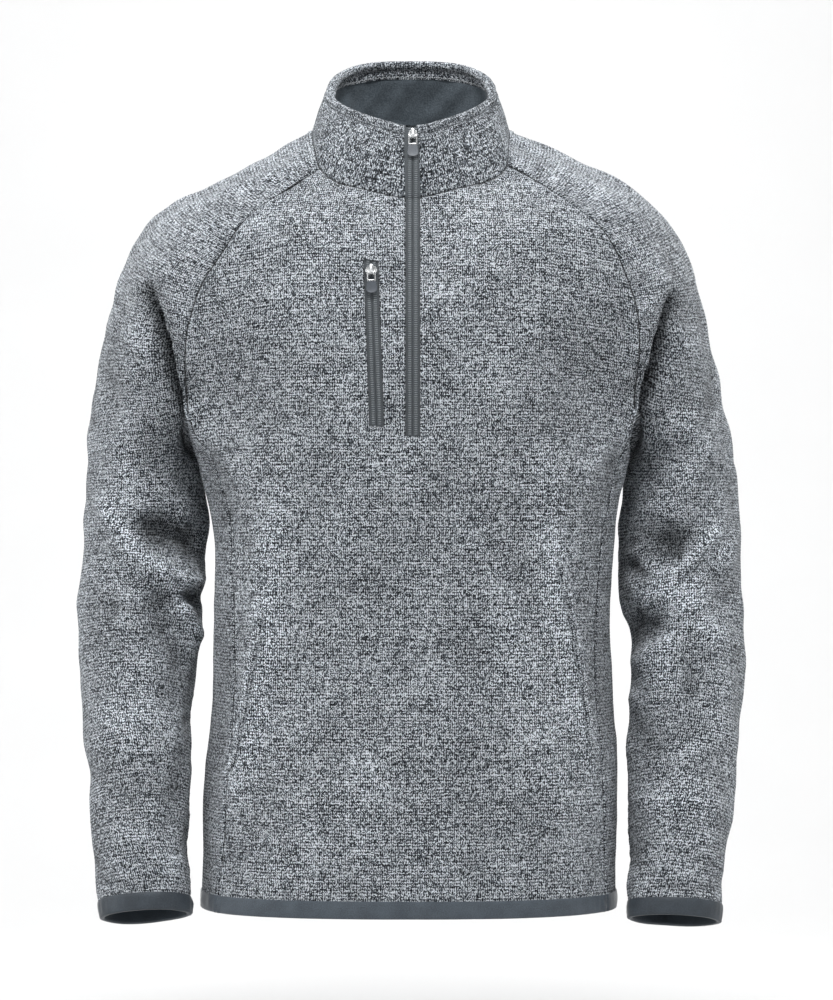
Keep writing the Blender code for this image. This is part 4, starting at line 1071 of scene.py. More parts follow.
def add_wall(cloth: Cloth, name: str, outside: Material, inside: Material) -> Thing:
    """A panel as cloth with two faces and a cut edge.

    Args:
        cloth: The garment's face.
        name: The panel.
        outside: Finish of the face and the cut edge.
        inside: Finish of the back.

    Returns:
        The panel.
    """
    quads, flat = cloth.panel(name)
    used, local = np.unique(quads, return_inverse=True)
    quads = local.reshape(-1, 4)
    outer = cloth.points[used]
    inner = outer - cloth.normals[used] * CLOTH
    count = len(used)
    first, second = quads, np.roll(quads, -1, axis=1)
    is_open = ~np.isin(first * count + second, second * count + first)
    start, end = first[is_open], second[is_open]
    edge_flat = np.stack((np.roll(flat, -1, axis=1)[is_open], flat[is_open],
                          flat[is_open], np.roll(flat, -1, axis=1)[is_open]), axis=1)
    rim = np.stack((end, start, start + count, end + count), axis=1)
    faces = np.concatenate((quads, quads[:, ::-1] + count, rim))
    flats = np.concatenate((flat, flat[:, ::-1], edge_flat)).reshape(-1, 2)
    thing = add_mesh("cloth_" + name, np.concatenate((outer, inner)), faces, [outside, inside], flats, 75)
    slots = np.zeros(len(faces), np.int32)
    slots[len(quads):2 * len(quads)] = 1
    thing.data.polygons.foreach_set("material_index", slots)
    # seam_mm also gives the knit a painted shade line along seams and slot edges
    near = np.tile(cloth.seam[used], 2)
    set_reading(thing, "seam_mm", near)
    if name.endswith(("sleeve", "side_panel")):
        set_reading(thing, "rib_mm", near)
    # relief_mm gives the knit painted shade in the hollows and painted highlight on the ridges
    set_reading(thing, "relief_mm", np.tile(cloth.relief[used], 2))
    return thing


@dataclass
class Fleece:
    """The panels and sleeves."""

    cloth: Cloth
    knit: Material
    backing: Material
    pieces: dict[str, Thing] = field(default_factory=dict)

    def build(self) -> None:
        """Makes the six pieces."""
        for name in PANEL_CUTS:
            piece = add_wall(self.cloth, name, self.knit, self.backing)
            sew_on(piece, "marled_knit_fleece", name)
            self.pieces[name] = piece

    def declare(self) -> None:
        """Says how much cloth shows on each piece's outside."""
        for name, piece in self.pieces.items():
            area = outside_area(piece, 0)
            LOG.info("%s: %.4f m2 of cloth", piece.name, area)


def outside_area(piece: Thing, slot: int) -> float:
    """The area of the faces of one material slot, in square metres."""
    faces = piece.data.polygons
    areas, slots = np.zeros(len(faces)), np.zeros(len(faces), np.int32)
    faces.foreach_get("area", areas)
    faces.foreach_get("material_index", slots)
    return float(areas[slots == slot].sum())


# ---------------------------------------------------------------- collar, lining and bindings
@dataclass
class CollarPieces:
    """The stand collar with its rolled edge and facing, and the lining below the facing."""

    cloth: Cloth
    knit: Material
    lining: Material
    topstitch_down: float = 0.0098      # from the rim to the row of stitches
    groove: float = 0.0012
    roll_radius: float = 0.0050
    roll_proud: float = 0.0012          # how far the roll stands out beyond the collar's face
    end_round: float = 0.0030           # the turned ends beside the zip are rounded over this much

    def __post_init__(self) -> None:
        """Reads the collar's columns."""
        net = self.cloth.nets["collar"]
        self.columns = [self.cloth.line(ids) for ids in net.T]
        self.across = np.append(self.cloth.flat["collar"][len(net) // 2, :, 0], 0.0)

    def roll_and_pinch(self, down: Array) -> tuple[Array, Array]:
        """How full the roll is at distances down from the rim, and how deep the stitches pinch it."""
        roll = np.clip(1 - np.abs(down - self.roll_radius) / (self.topstitch_down - self.roll_radius), 0, 1)
        pinch = self.groove * np.exp(-((down - self.topstitch_down) / 0.0013) ** 2)
        return np.sin(roll * math.pi / 2) ** 2, pinch

    def outside(self, down: Array, full: float) -> Array:
        """How deep the outside lies at distances down from the rim: a fat roll, a pinch, then flat."""
        roll, pinch = self.roll_and_pinch(down)
        below = 0.0005 * np.exp(-((down - self.topstitch_down - 0.0035) / 0.0022) ** 2)
        return pinch - self.roll_proud * full * roll - below

    def inside(self, down: Array, full: float) -> Array:
        """How deep the inside lies at distances down from the rim."""
        roll, pinch = self.roll_and_pinch(down)
        return ROLL_THICK + (2 * self.roll_radius - self.roll_proud - ROLL_THICK) * full * roll - pinch

    def section(self, length: float, full: float) -> Pair:
        """Up the outside, over the fat roll, down the facing and back down the wall.

        Args:
            length: The collar's height on this column.
            full: How full the roll is here, about 1.

        Returns:
            Heights and depths.
        """
        radius = self.roll_radius
        up = np.concatenate((np.linspace(0, length - 0.018, 15), np.linspace(length - 0.0165, length - radius, 13)))
        over = np.radians(np.linspace(-90, 90, 13)[1:-1])
        down = np.linspace(length - radius, length - FACING, 14)
        back = np.array((length - FACING, length / 2, 0.0))
        heights = np.concatenate((up, length - radius + radius * np.cos(over), down, back))
        first, last = self.outside(np.array((radius,)), full)[0], self.inside(np.array((radius,)), full)[0]
        turn = (first + last) / 2 + (last - first) / 2 * np.sin(over)
        depths = np.concatenate((self.outside(length - up, full), turn, self.inside(length - down, full),
                                 np.full(3, COLLAR_THICK)))
        return heights, depths

    def lining_section(self, length: float) -> Pair:
        """Up the lining's hidden side and down the side that shows."""
        top = length - FACING + 0.0012
        shown = np.linspace(top, 0.0, 18)
        puff = 0.0012 * np.sin(math.pi * np.linspace(0, 1, 18)) ** 0.5
        return (np.concatenate(((0.0, top), shown)),
                np.concatenate(((COLLAR_THICK + 0.0003,) * 2, ROLL_THICK - 0.0008 + puff)))

    def rings(self, kind: str) -> Pair:
        """Sections round the neck, of the collar or its lining, with the flat places along one."""
        made, along = [], np.zeros(1)
        place = self.across[:-1]
        fullness = 1 + 0.16 * ripple(np.outer(place, (1, 0, 0)), 0.014, 17)
        from_end = np.minimum(place - place[0], place[-1] - place)
        sink = 0.0016 * (1 - np.sqrt(1 - np.clip(1 - from_end / self.end_round, 0, 1) ** 2))
        for (points, normals), full, low in zip(self.columns, fullness, sink):
            length = run_lengths(points)[-1]
            heights, depths = (self.lining_section(length) if kind == "lining"
                               else self.section(length, float(full)))
            middle = ROLL_THICK / 2
            at, out = up_line(points, normals, heights)
            out = unit(out)
            made.append(at - out * (depths + low * np.clip((middle - depths) / middle, -1, 1))[:, None])
            if len(made) == len(self.columns) // 2:     # at the back, where the collar is highest
                along = run_lengths(made[-1], closed=True)
        return np.array(made), along

    def build(self) -> None:
        """Makes the collar and its lining."""
        rings, along = self.rings("collar")
        collar = add_swept("cloth_collar", rings, self.knit, False, self.across, along)
        # the knit reads this as painted shade: a dark line at the neck seam and along the topstitch pinch below the
        # roll
        near = []
        for points, _ in self.columns:
            length = run_lengths(points)[-1]
            heights, depths = self.section(length, 1.0)
            stitched = np.abs(length - self.topstitch_down - heights) * 0.8 + 0.00035
            near.append(np.where(depths < ROLL_THICK / 3, np.minimum(np.abs(heights), stitched), 0.006))
        set_reading(collar, "seam_mm", np.concatenate(near))
        rings, along = self.rings("lining")
        shown = rings[:, 2:]
        inward = np.gradient(shown, axis=0)
        turn = np.cross(inward, np.gradient(shown, axis=1))
        turn /= np.linalg.norm(turn, axis=2)[..., None] + 1e-9
        slant = shown.reshape(-1, 3) @ np.array(((1, 0, 0), (0, 1, 0), (-0.7, 0, 0.35)))
        soft = ripple(slant, 0.030, 23).reshape(shown.shape[:2])
        edge = np.sin(math.pi * np.linspace(0, 1, shown.shape[1])) ** 0.5
        rings[:, 2:] += turn * (soft * edge * 0.0016)[..., None]
        lining = add_swept("collar_lining_cloth", rings, self.lining, False, self.across, along)
        for piece, node, slot, high in ((collar, "collar", "marled_knit_fleece", 0.072),
                                        (lining, "collar_lining", "slate_fleece", 0.050)):
            sew_on(piece, slot, node)


@dataclass
class Binding:
    """Stretch binding folded round an edge of the cloth."""

    cloth: Cloth
    finish: Material
    cuff_finish: Material
    proud: float = 0.0009
    crown: float = 0.0008           # how much the band swells between its two edges
    pucker: float = 0.0005
    pucker_pitch: float = 0.0075

    def section(self) -> Pair:
        """Down the outside, round the fold and up the inside, as heights and outward distances."""
        share = np.linspace(1, 0, 14)
        low = -0.0011
        down = low + (BINDING_HIGH - low) * share
        out = self.proud + self.crown * np.sin(math.pi * np.clip(share * 0.86 + 0.14, 0, 1)) ** 0.6
        turn = np.radians(np.linspace(0, 180, 8)[1:-1])
        middle, reach = (out[-1] - CLOTH - self.proud) / 2, (out[-1] + CLOTH + self.proud) / 2
        up = low + (BINDING_HIGH - low) * np.linspace(0, 1, 6)
        heights = np.concatenate(((BINDING_HIGH - 0.0004,), down, low - reach * 0.55 * np.sin(turn), up))
        outs = np.concatenate(((-0.0006,), out, middle + reach * np.cos(turn), np.full(6, -CLOTH - self.proud)))
        return heights, outs

    def build(self, name: str, finish: Material, ids: Array, sides: Array) -> None:
        """Makes one closed band.

        Args:
            name: The node that it stands for.
            finish: Its material.
            ids: Rows of points from the edge upward, round the opening.
            sides: How much more the band puckers at each column, from 0 to 1.
        """
        heights, outs = self.section()
        across = run_lengths(self.cloth.points[ids[0]], closed=True)
        puckers = (np.sin(2 * math.pi * across[:-1] / self.pucker_pitch
                          + 2.2 * ripple(self.cloth.points[ids[0]], 0.04, 29))
                   * (0.55 + 0.45 * ripple(self.cloth.points[ids[0]], 0.06, 31)))
        swell = np.sin(math.pi * np.clip(heights / BINDING_HIGH, 0, 1)) ** 0.7
        rings = []
        for column in range(ids.shape[1]):
            at, out = up_line(*self.cloth.line(ids[:, column]), heights)
            out = unit(out)
            lift = outs + np.sign(outs) * swell * self.pucker * puckers[column] * (0.5 + sides[column])
            rings.append(at + out * lift[:, None])
        rings = np.array(rings)
        along = run_lengths(rings[0], closed=True)
        band = add_swept(name + "_band", rings, finish, True, across, along)
        sew_on(band, "slate_binding", name)

    def build_all(self) -> None:
        """Binds the hem and both cuffs."""
        order = ("front_panel", "left_side_panel", "back_panel", "right_side_panel")
        hem = np.concatenate([self.cloth.nets[name][:9, :-1] for name in order], axis=1)
        x = np.abs(self.cloth.points[hem[0], 0])
        self.build("hem_binding", self.finish, hem, np.clip((x - 0.11) / 0.07, 0, 1))
        for side in ("right", "left"):
            tube = self.cloth.nets[side + "_sleeve_tube"][:9]
            self.build(side + "_cuff_binding", self.cuff_finish, tube, np.full(tube.shape[1], 0.35))


# ---------------------------------------------------------------- the zips' lines
class ZipLine:
    """The two edges of a slot, right and left, step by step upward."""

    def __init__(self, right: list[Pair], left: list[Pair], middle_x: float | None = None) -> None:
        """Keeps the edges.

        Args:
            right: Points and outward directions up the right edge.
            left: The same up the left edge.
            middle_x: Where the zip's own line stays, if the slot's middle isn't it.
        """
        self.right = tuple(np.array(part) for part in zip(*right))
        self.left = tuple(np.array(part) for part in zip(*left))
        own = (self.right[0][:, 0] + self.left[0][:, 0]) / 2
        self.middle = own if middle_x is None else np.full(len(own), middle_x)

    def at(self, offset: float | Array, depth: float) -> Array:
        """Points up the zip at an offset sideways from its middle, and sunk by a depth."""
        (right, right_out), (left, left_out) = self.right, self.left
        share = ((self.middle + offset - right[:, 0]) / (left[:, 0] - right[:, 0]))[:, None]
        out = right_out + (left_out - right_out) * share
        return right + (left - right) * share - unit(out) * depth

    def frame(self, height: float) -> Pair:
        """Origin and axes, across, up the zip and outward, where the zip passes a height."""
        path = self.at(0, 0)
        step = int(np.clip(np.searchsorted(path[:, 2], height) - 1, 2, len(path) - 4))
        up = unit(path[step + 3] - path[step - 2])
        share = (height - path[step][2]) / (path[step + 1][2] - path[step][2])
        origin = path[step] + (path[step + 1] - path[step]) * share
        across = unit(np.array((1.0, 0.0, 0.0)) - up[0] * up)
        return origin, np.column_stack((across, up, np.cross(across, up)))


# ---------------------------------------------------------------- stitches and other small things that repeat
@dataclass(frozen=True)
class Motif:
    """One small shape, modelled once: its points in its own axes, and its faces."""

    points: Array
    faces: list[list[int]]

    @classmethod
    def taken_from(cls, thing: Thing) -> "Motif":
        """Takes the shape off an object and removes the object."""
        mesh = thing.data
        points = np.array([vertex.co[:] for vertex in mesh.vertices])
        faces = [list(face.vertices) for face in mesh.polygons]
        bpy.data.objects.remove(thing, do_unlink=True)
        return cls(points, faces)

    def repeated(self, name: str, origins: Array, axes: Array, size: tuple[float, float, float],
                 finish: Material) -> Thing:
        """Copies the shape to many places, as one mesh.

        Args:
            name: The new object's name.
            origins: A point for each copy.
            axes: For each copy, its own x, y and z directions as columns.
            size: Length, width and height of each copy.
            finish: The material.

        Returns:
            The object.
        """
        scaled = self.points * np.array(size)
        points = (np.einsum("nij,pj->npi", axes, scaled) + origins[:, None]).reshape(-1, 3)
        step = len(self.points)
        faces = [[corner + step * k for corner in face] for k in range(len(origins)) for face in self.faces]
        return add_mesh(name, points, faces, [finish])


def select_alone(thing: Thing) -> None:
    """Selects one object and nothing else."""
    bpy.ops.object.select_all(action="DESELECT")
    thing.select_set(True)
    bpy.context.view_layer.objects.active = thing


@contextmanager
def editing(thing: Thing) -> Iterator[bmesh.types.BMesh]:
    """Selects an object alone, and keeps it in edit mode for a while."""
    select_alone(thing)
    bpy.ops.object.mode_set(mode="EDIT")
    yield bmesh.from_edit_mesh(thing.data)
    bpy.ops.object.mode_set(mode="OBJECT")


def select_points(thing: Thing, wanted: Callable[[Vector], bool]) -> None:
    """Selects, in edit mode, the points that a test accepts."""
    shape = bmesh.from_edit_mesh(thing.data)
    bpy.ops.mesh.select_all(action="DESELECT")
    for vertex in shape.verts:
        vertex.select = wanted(vertex.co)
    shape.select_flush(True)
    bmesh.update_edit_mesh(thing.data)


def add_block(name: str, size: tuple[float, ...], place: tuple[float, ...]) -> Thing:
    """A block to be worked on, of a given size, with its place in its mesh."""
    bpy.ops.object.select_all(action="DESELECT")
    bpy.ops.mesh.primitive_cube_add(size=1)
    block = bpy.context.object
    block.name = block.data.name = name
    block.scale = size
    block.location = place
    bpy.ops.object.transform_apply(location=True, rotation=False, scale=True)
    return block


def work(thing: Thing, kind: str, **settings: object) -> None:
    """Adds a modifier with its settings and applies it."""
    select_alone(thing)
    modifier = thing.modifiers.new(kind.lower(), kind)
    for name, value in settings.items():
        setattr(modifier, name, value)
    bpy.ops.object.modifier_apply(modifier=modifier.name)


def cut_by(thing: Thing, cutter: Thing, operation: str = "DIFFERENCE") -> None:
    """Takes one solid from another, or joins it on, and removes it."""
    work(thing, "BOOLEAN", operation=operation, object=cutter, solver="EXACT")
    bpy.data.objects.remove(cutter, do_unlink=True)


def stitch_motif() -> Motif:
    """One stitch, 1 long: a rounded thread whose two ends dive into the cloth."""
    bpy.ops.object.select_all(action="DESELECT")
    bpy.ops.mesh.primitive_uv_sphere_add(segments=8, ring_count=6, radius=0.5, rotation=(0, math.pi / 2, 0))
    thread = bpy.context.object
    bpy.ops.object.transform_apply(location=False, rotation=True, scale=False)
    with editing(thread):
        select_points(thread, lambda place: abs(place.x) > 0.3)
        bpy.ops.transform.translate(value=(0, 0, -0.45))
    return Motif.taken_from(thread)


def along_line(points: Array, normals: Array, pitch: float, margin: float = 0.002) -> Pair:
    """Places at an even pitch along a line on the cloth.

    Args:
        points: The line.
        normals: Outward directions on it.
        pitch: Distance from one place to the next.
        margin: What is left free at both ends.

    Returns:
        The places, and for each its axes: along the line, sideways and outward, as columns.
    """
    length = run_lengths(points)
    count = max(2, int(round((length[-1] - 2 * margin) / pitch)) + 1)
    where = np.linspace(margin, length[-1] - margin, count)

    def read(at: Array, values: Array) -> Array:
        """Values on the line at distances along it."""
        return np.column_stack([np.interp(at, length, values[:, axis]) for axis in range(3)])

    run = unit(read(where + pitch * 0.3, points) - read(where - pitch * 0.3, points))
    side = unit(np.cross(read(where, normals), run))
    return read(where, points), np.stack((run, side, np.cross(run, side)), axis=2)


class Edge(Enum):
    """An edge of a net."""

    FIRST_COLUMN = "first column"
    LAST_COLUMN = "last column"
    FIRST_ROW = "first row"
    LAST_ROW = "last row"


def beside(cloth: Cloth, name: str, edge: Edge, away: float) -> Pair:
    """A line on a net at a distance inside one of its edges.

    Args:
        cloth: The garment's face.
        name: The net.
        edge: The edge.
        away: The distance.

    Returns:
        Points and outward directions.
    """
    ids = cloth.nets[name]
    if edge in (Edge.FIRST_ROW, Edge.LAST_ROW):
        ids = ids.T
    if edge in (Edge.LAST_COLUMN, Edge.LAST_ROW):
        ids = ids[:, ::-1]
    found = [up_line(*cloth.line(line), np.array((away,))) for line in ids[:, :16]]
    return np.concatenate([at for at, _ in found]), np.concatenate([out for _, out in found])


@dataclass
class Stitching:
    """Rows of stitches that hold the seams and edges down."""

    cloth: Cloth
    thread: Material
    dark_thread: Material
    light_thread: Material
    thick: float = 0.00062
    rim_row: float = 0.0095         # how far below the collar's rim its row of stitches lies
    rim_sink: float = 0.0006        # and how deep it is drawn into the roll
    facing_margin: float = 0.0022   # from the facing's edge to its stitches

    def __post_init__(self) -> None:
        """Models the stitch."""
        self.motif = stitch_motif()

    def row(self, name: str, points: Array, normals: Array, finish: Material | None = None,
            pitch: float = 0.0036, turn_deg: float = 0.0, long: float = 0.0026) -> None:
        """One row of stitches along a line.

        Args:
            name: The row's name.
            points: The line.
            normals: Outward directions on it.
            finish: The thread's material, plain thread if none is given.
            pitch: From stitch to stitch.
            turn_deg: How far each stitch is turned from the line; every second one turns the other way.
            long: A stitch's length.
        """
        places, axes = along_line(points, normals, pitch)
        turns = np.radians(turn_deg) * np.where(np.arange(len(places)) % 2, 1, -1)
        spin = np.zeros((len(places), 3, 3))
        spin[:, 0, 0] = spin[:, 1, 1] = np.cos(turns)
        spin[:, 1, 0], spin[:, 0, 1], spin[:, 2, 2] = np.sin(turns), -np.sin(turns), 1
        piece = self.motif.repeated(name, places + axes[:, :, 2] * 0.00012, axes @ spin,
                                    (long, self.thick, self.thick), finish or self.thread)
        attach(piece, BODY_NAME)
        LOG.info("%s: %d stitches", name, len(places))

    def below_rim(self, down: float) -> Pair:
        """A line round the collar's face at a distance down from its rim."""
        found = []
        for ids in self.cloth.nets["collar"].T:
            points, normals = self.cloth.line(ids)
            found.append(up_line(points, normals, np.array((run_lengths(points)[-1] - down,))))
        points, normals = (np.concatenate(part) for part in zip(*found))
        return points, normals

    def build(self) -> None:
        """Stitches the seams and the collar."""
        body, first, last = self.cloth, Edge.FIRST_COLUMN, Edge.LAST_COLUMN
        for name, net, edge in (
                ("raglan_front_right", "right_sleeve_cap", last), ("raglan_front_left", "left_sleeve_cap", first),
                ("raglan_back_right", "right_sleeve_cap", first), ("raglan_back_left", "left_sleeve_cap", last),
                ("side_front_right", "front_panel", first), ("side_front_left", "front_panel", last),
                ("side_back_right", "back_panel", last), ("side_back_left", "back_panel", first)):
            points, normals = beside(body, net, edge, body.topstitch_at)
            if net.endswith("panel"):       # from the hem's binding to the underarm
                low, high = 6, sum(body.pattern.body_rows)
                points, normals = points[low:high], normals[low:high]
            self.row("stitches_" + name, points, normals)
        for name, away in (("collar_base_low", 0.0022), ("collar_base_high", 0.0058)):
            self.row("stitches_" + name, *beside(body, "collar", Edge.FIRST_ROW, away))
        points, normals = self.below_rim(self.rim_row)
        self.row("stitches_rim_outside", points - normals * self.rim_sink, normals)
        self.row("stitches_rim_inside", points - normals * (ROLL_THICK - self.rim_sink), -normals)
        points, normals = self.below_rim(FACING - self.facing_margin)
        self.row("stitches_facing", points - normals * (ROLL_THICK + 0.0002), -normals, self.light_thread,
                 pitch=0.0023, turn_deg=38)


# ---------------------------------------------------------------- zips
@dataclass
class Zip:
    """An exposed reversed-coil zip: two tapes with the coil's ribs showing through, in a slot."""

    name: str
    line: ZipLine
    tape: Material
    coil: Material
    sink: float = 0.0006
    thick: float = 0.0012
    tuck: float = 0.0007            # how far the tape goes into the cloth's cut edge
    rib_pitch: float = 0.00202
    rib_at: float = 0.0029
    rib_size: tuple[float, float, float] = (0.0032, 0.00115, 0.0008)

    def section(self) -> Columns:
        """Offsets from the middle, and how far the woven face rises there over the coil."""
        return table("offset rise", """
0.15 -0.35
0.5 -0.05
1 0.2
1.6 0.42
2.3 0.55
3 0.5
3.7 0.3
4.3 0.1
5 0""")

    def add_tape(self, side: str, sign: int) -> Thing:
        """Weaves one tape from the middle of the zip to the slot's edge."""
        profile = self.section()
        edge = (self.line.left if sign > 0 else self.line.right)[0]
        far = np.abs(edge[:, 0] - self.line.middle) + self.tuck
        steps = [(profile["offset"][k] * np.ones(len(far)), self.sink - profile["rise"][k])
                 for k in range(len(profile["offset"]))]
        steps += [(far, self.sink), (far, self.sink + self.thick), (far * 0 + 0.00015, self.sink + self.thick)]
        rings = np.stack([self.line.at(sign * offset, depth) for offset, depth in steps], axis=1)
        along = run_lengths(rings[0], closed=True)
        across = run_lengths(rings[:, 0])
        piece = add_swept(f"{self.name}_tape_{side}", rings, self.tape, False, np.append(across, 0), along, 35)
        sew_on(piece, "grey_zip_tape", f"{self.name}_zip_tape_{side}")
        return piece

    def add_ribs(self, motif: Motif) -> Thing:
        """The coil's turns, as two columns of short ribs."""
        origins, axes = [], []
        for sign in (-1, 1):
            points = self.line.at(sign * self.rib_at, self.sink - 0.00036)
            places, turns = along_line(points, np.cross(np.gradient(points, axis=0), (-1.0, 0, 0)) * -1,
                                       self.rib_pitch)
            turned = np.stack((turns[:, :, 1], -turns[:, :, 0], turns[:, :, 2]), axis=2)
            origins.append(places)
            axes.append(turned)
        piece = motif.repeated(f"{self.name}_coil", np.concatenate(origins), np.concatenate(axes),
                               self.rib_size, self.coil)
        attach(piece, BODY_NAME)
        return piece

    def build(self, motif: Motif) -> list[Thing]:
        """Makes both tapes and the coil, and gives the tapes."""
        self.add_ribs(motif)
        return [self.add_tape(side, sign) for side, sign in (("right", -1), ("left", 1))]


def centre_zip_line(cloth: Cloth) -> ZipLine:
    """The centre slot's edges: up the front panel, then up the collar's two ends."""
    start = cloth.slot_rows["zip"]
    sides = []
    for panel_column, collar_column in ((cloth.zip_columns[0], -1), (cloth.zip_columns[1], 0)):
        ids = cloth.nets["front_panel"][start:, panel_column]
        steps = list(zip(*cloth.line(ids)))
        ends = cloth.nets["collar"][:, collar_column]
        length = run_lengths(cloth.points[ends])[-1]
        heights = np.linspace(0.0015, length - 0.003, 20)
        steps += list(zip(*up_line(*cloth.line(ends), heights)))
        sides.append(steps)
    return ZipLine(*sides, middle_x=ZIP_X)


def pocket_zip_line(cloth: Cloth) -> ZipLine:
    """The pocket slot's edges."""
    low, high = cloth.slot_rows["low"], cloth.slot_rows["high"] + 1
    sides = [cloth.nets["front_panel"][low:high, column] for column in cloth.pocket_columns]
    return ZipLine(*[list(zip(*cloth.line(ids))) for ids in sides])


@dataclass
class ZipHead:
    """A slider with its bridge, and the pull and tip that hang from it."""

    name: str
    frame: Pair
    metal: Material
    moulded: Material
    slider_wide: float = 0.0108
    slider_long: float = 0.0100
    slider_foot: float = -0.0003
    raised: float = 0.0             # how much thicker the slider is, so that its bridge stands higher
    slider_top: float = 0.0024
    foot_narrowing: float = 0.9     # how wide the slider's lower end is beside the rest
    wing_wide: float = 0.0016       # the rim round its dished top
    dish_deep: float = 0.0004
    bridge_wide: float = 0.0032
    bridge_long: float = 0.0100
    bridge_top: float = 0.0057
    bridge_root: float = 0.0008     # how far the bridge goes down into the slider
    hinge_up: float = -0.0020
    hinge_out: float = 0.0036
    lean_deg: float = 6
    pull_wide: float = 0.0082
    pull_arm: float = 0.0013
    pull_thick: float = 0.0012
    pull_window: float = 0.0076
    pull_long: float = 0.0091
    tip_long: float = 0.0107
    tip_wide_top: float = 0.0080
    tip_wide: float = 0.0110
    tip_thick: float = 0.0024
    tip_round: float = 0.0041
    tip_rim: float = 0.0011         # the rim round its shallow face
    tip_dish: float = 0.00035

    def place(self, thing: Thing, body: str, node: str, slot: str, hinged: bool) -> None:
        """Moves a piece from its own axes to the zip, hides the solid that it stands for, and says what it is made
        of.
        """
        origin, axes = self.frame
        origin = origin + axes[:, 2] * self.raised
        if hinged:
            lean = math.radians(self.lean_deg)
            turn = np.array(((1, 0, 0), (0, math.cos(lean), -math.sin(lean)), (0, math.sin(lean), math.cos(lean))))
            origin, axes = origin + axes @ (0, self.hinge_up, self.hinge_out), axes @ turn
        move = np.eye(4)
        move[:3, :3], move[:3, 3] = axes, origin
        thing.data.transform(Matrix(move.tolist()))
        sew_on(thing, slot, node, body)

    def add_slider(self) -> None:
        """The oval body, dished between its wings, with the bridge on it."""
        bpy.ops.object.select_all(action="DESELECT")
        foot = self.slider_foot - self.raised
        high = self.slider_top - foot
        bpy.ops.mesh.primitive_cylinder_add(vertices=48, radius=0.5, depth=1)
        slider = bpy.context.object
        slider.name = slider.data.name = self.name + "_slider_body"
        slider.scale = (self.slider_wide, self.slider_long, high)
        slider.location = (0, 0, (self.slider_top + foot) / 2)
        bpy.ops.object.transform_apply(location=True, rotation=False, scale=True)
        with editing(slider):
            select_points(slider, lambda place: place.y < -self.slider_long * 0.2)
            bpy.ops.transform.resize(value=(self.foot_narrowing, 1, 1), center_override=(0, 0, 0))
            select_points(slider, lambda place: place.z > self.slider_top - CLOSE)
            bpy.ops.mesh.inset(thickness=self.wing_wide)
            bpy.ops.transform.translate(value=(0, 0, -self.dish_deep))
        work(slider, "BEVEL", width=0.0004, segments=3, limit_method="ANGLE", angle_limit=math.radians(30))
        root = self.slider_top - self.bridge_root
        bridge = add_block("bridge", (self.bridge_wide, self.bridge_long, self.bridge_top - root),
                           (0, 0, (self.bridge_top + root) / 2))
        work(bridge, "BEVEL", width=0.0009, segments=5, limit_method="ANGLE")
        tunnel = add_block("tunnel", (0.02, self.bridge_long - 0.0022, self.bridge_top - self.slider_top - 0.0004),
                           (0, 0, (self.bridge_top + self.slider_top) / 2 - 0.0007))
        work(tunnel, "BEVEL", width=0.0006, segments=4, limit_method="ANGLE")
        cut_by(bridge, tunnel)
        cut_by(slider, bridge, "UNION")
        self.finish_piece(slider, self.metal)
        self.place(slider, BODY_NAME, self.name + "_slider", "nickel_plate", hinged=False)

    @staticmethod
    def finish_piece(thing: Thing, finish: Material) -> None:
        """Smooths a piece but for its sharp edges and gives it its material."""
        select_alone(thing)
        bpy.ops.object.shade_smooth_by_angle(angle=math.radians(35))
        thing.data.materials.clear()
        thing.data.materials.append(finish)

    def add_pull(self) -> None:
        """The pull's frame: a flat ring whose top bar turns under the bridge."""
        bar = self.pull_thick / 2
        middle = (bar - self.pull_long) / 2
        pull = add_block(self.name + "_pull_frame", (self.pull_wide, self.pull_long + bar, self.pull_thick),
                         (0, middle, 0))
        work(pull, "BEVEL", width=0.0009, segments=4, limit_method="ANGLE", affect="EDGES")
        low, high = -self.pull_window, -bar
        window = add_block("window", (self.pull_wide - 2 * self.pull_arm, high - low, 0.01), (0, (low + high) / 2, 0))
        work(window, "BEVEL", width=0.0006, segments=3, limit_method="ANGLE")
        cut_by(pull, window)
        work(pull, "BEVEL", width=0.00015, segments=2, limit_method="ANGLE", angle_limit=math.radians(50))
        self.finish_piece(pull, self.metal)
        self.place(pull, self.name + "_zip_pull", self.name + "_pull", "nickel_plate", hinged=True)

    def add_tip(self) -> None:
        """The moulded tip, widest near its rounded foot, with a plain shallow face."""
        start = self.pull_long + 0.0003
        tip = add_block(self.name + "_tip_moulding", (self.tip_wide_top, self.tip_long, self.tip_thick),
                        (0, -(start + self.tip_long / 2), 0))
        foot = -(start + self.tip_long)
        with editing(tip):
            select_points(tip, lambda place: place.y < foot + CLOSE)
            bpy.ops.transform.resize(value=(self.tip_wide / self.tip_wide_top, 1, 1), center_override=(0, 0, 0))
        with editing(tip) as shape:
            bpy.ops.mesh.select_mode(type="EDGE")
            bpy.ops.mesh.select_all(action="DESELECT")
            for edge in shape.edges:
                first, second = (corner.co for corner in edge.verts)
                edge.select_set(abs(first.z - second.z) > self.tip_thick / 2 and first.y < foot + CLOSE)
            bmesh.update_edit_mesh(tip.data)
            bpy.ops.mesh.bevel(offset=self.tip_round, segments=8)
            bpy.ops.mesh.select_mode(type="VERT")
        with editing(tip):
            select_points(tip, lambda place: place.z > self.tip_thick / 2 - CLOSE)
            bpy.ops.mesh.inset(thickness=self.tip_rim)
            bpy.ops.transform.translate(value=(0, 0, -self.tip_dish))
        work(tip, "BEVEL", width=0.00035, segments=3, limit_method="ANGLE", angle_limit=math.radians(35))
        self.finish_piece(tip, self.moulded)
        self.place(tip, self.name + "_zip_pull", self.name + "_pull_tip", "grey_moulded_tip", hinged=True)

    def build(self) -> None:
        """Makes the slider, the pull and the tip."""
        self.add_slider()
        self.add_pull()
        self.add_tip()


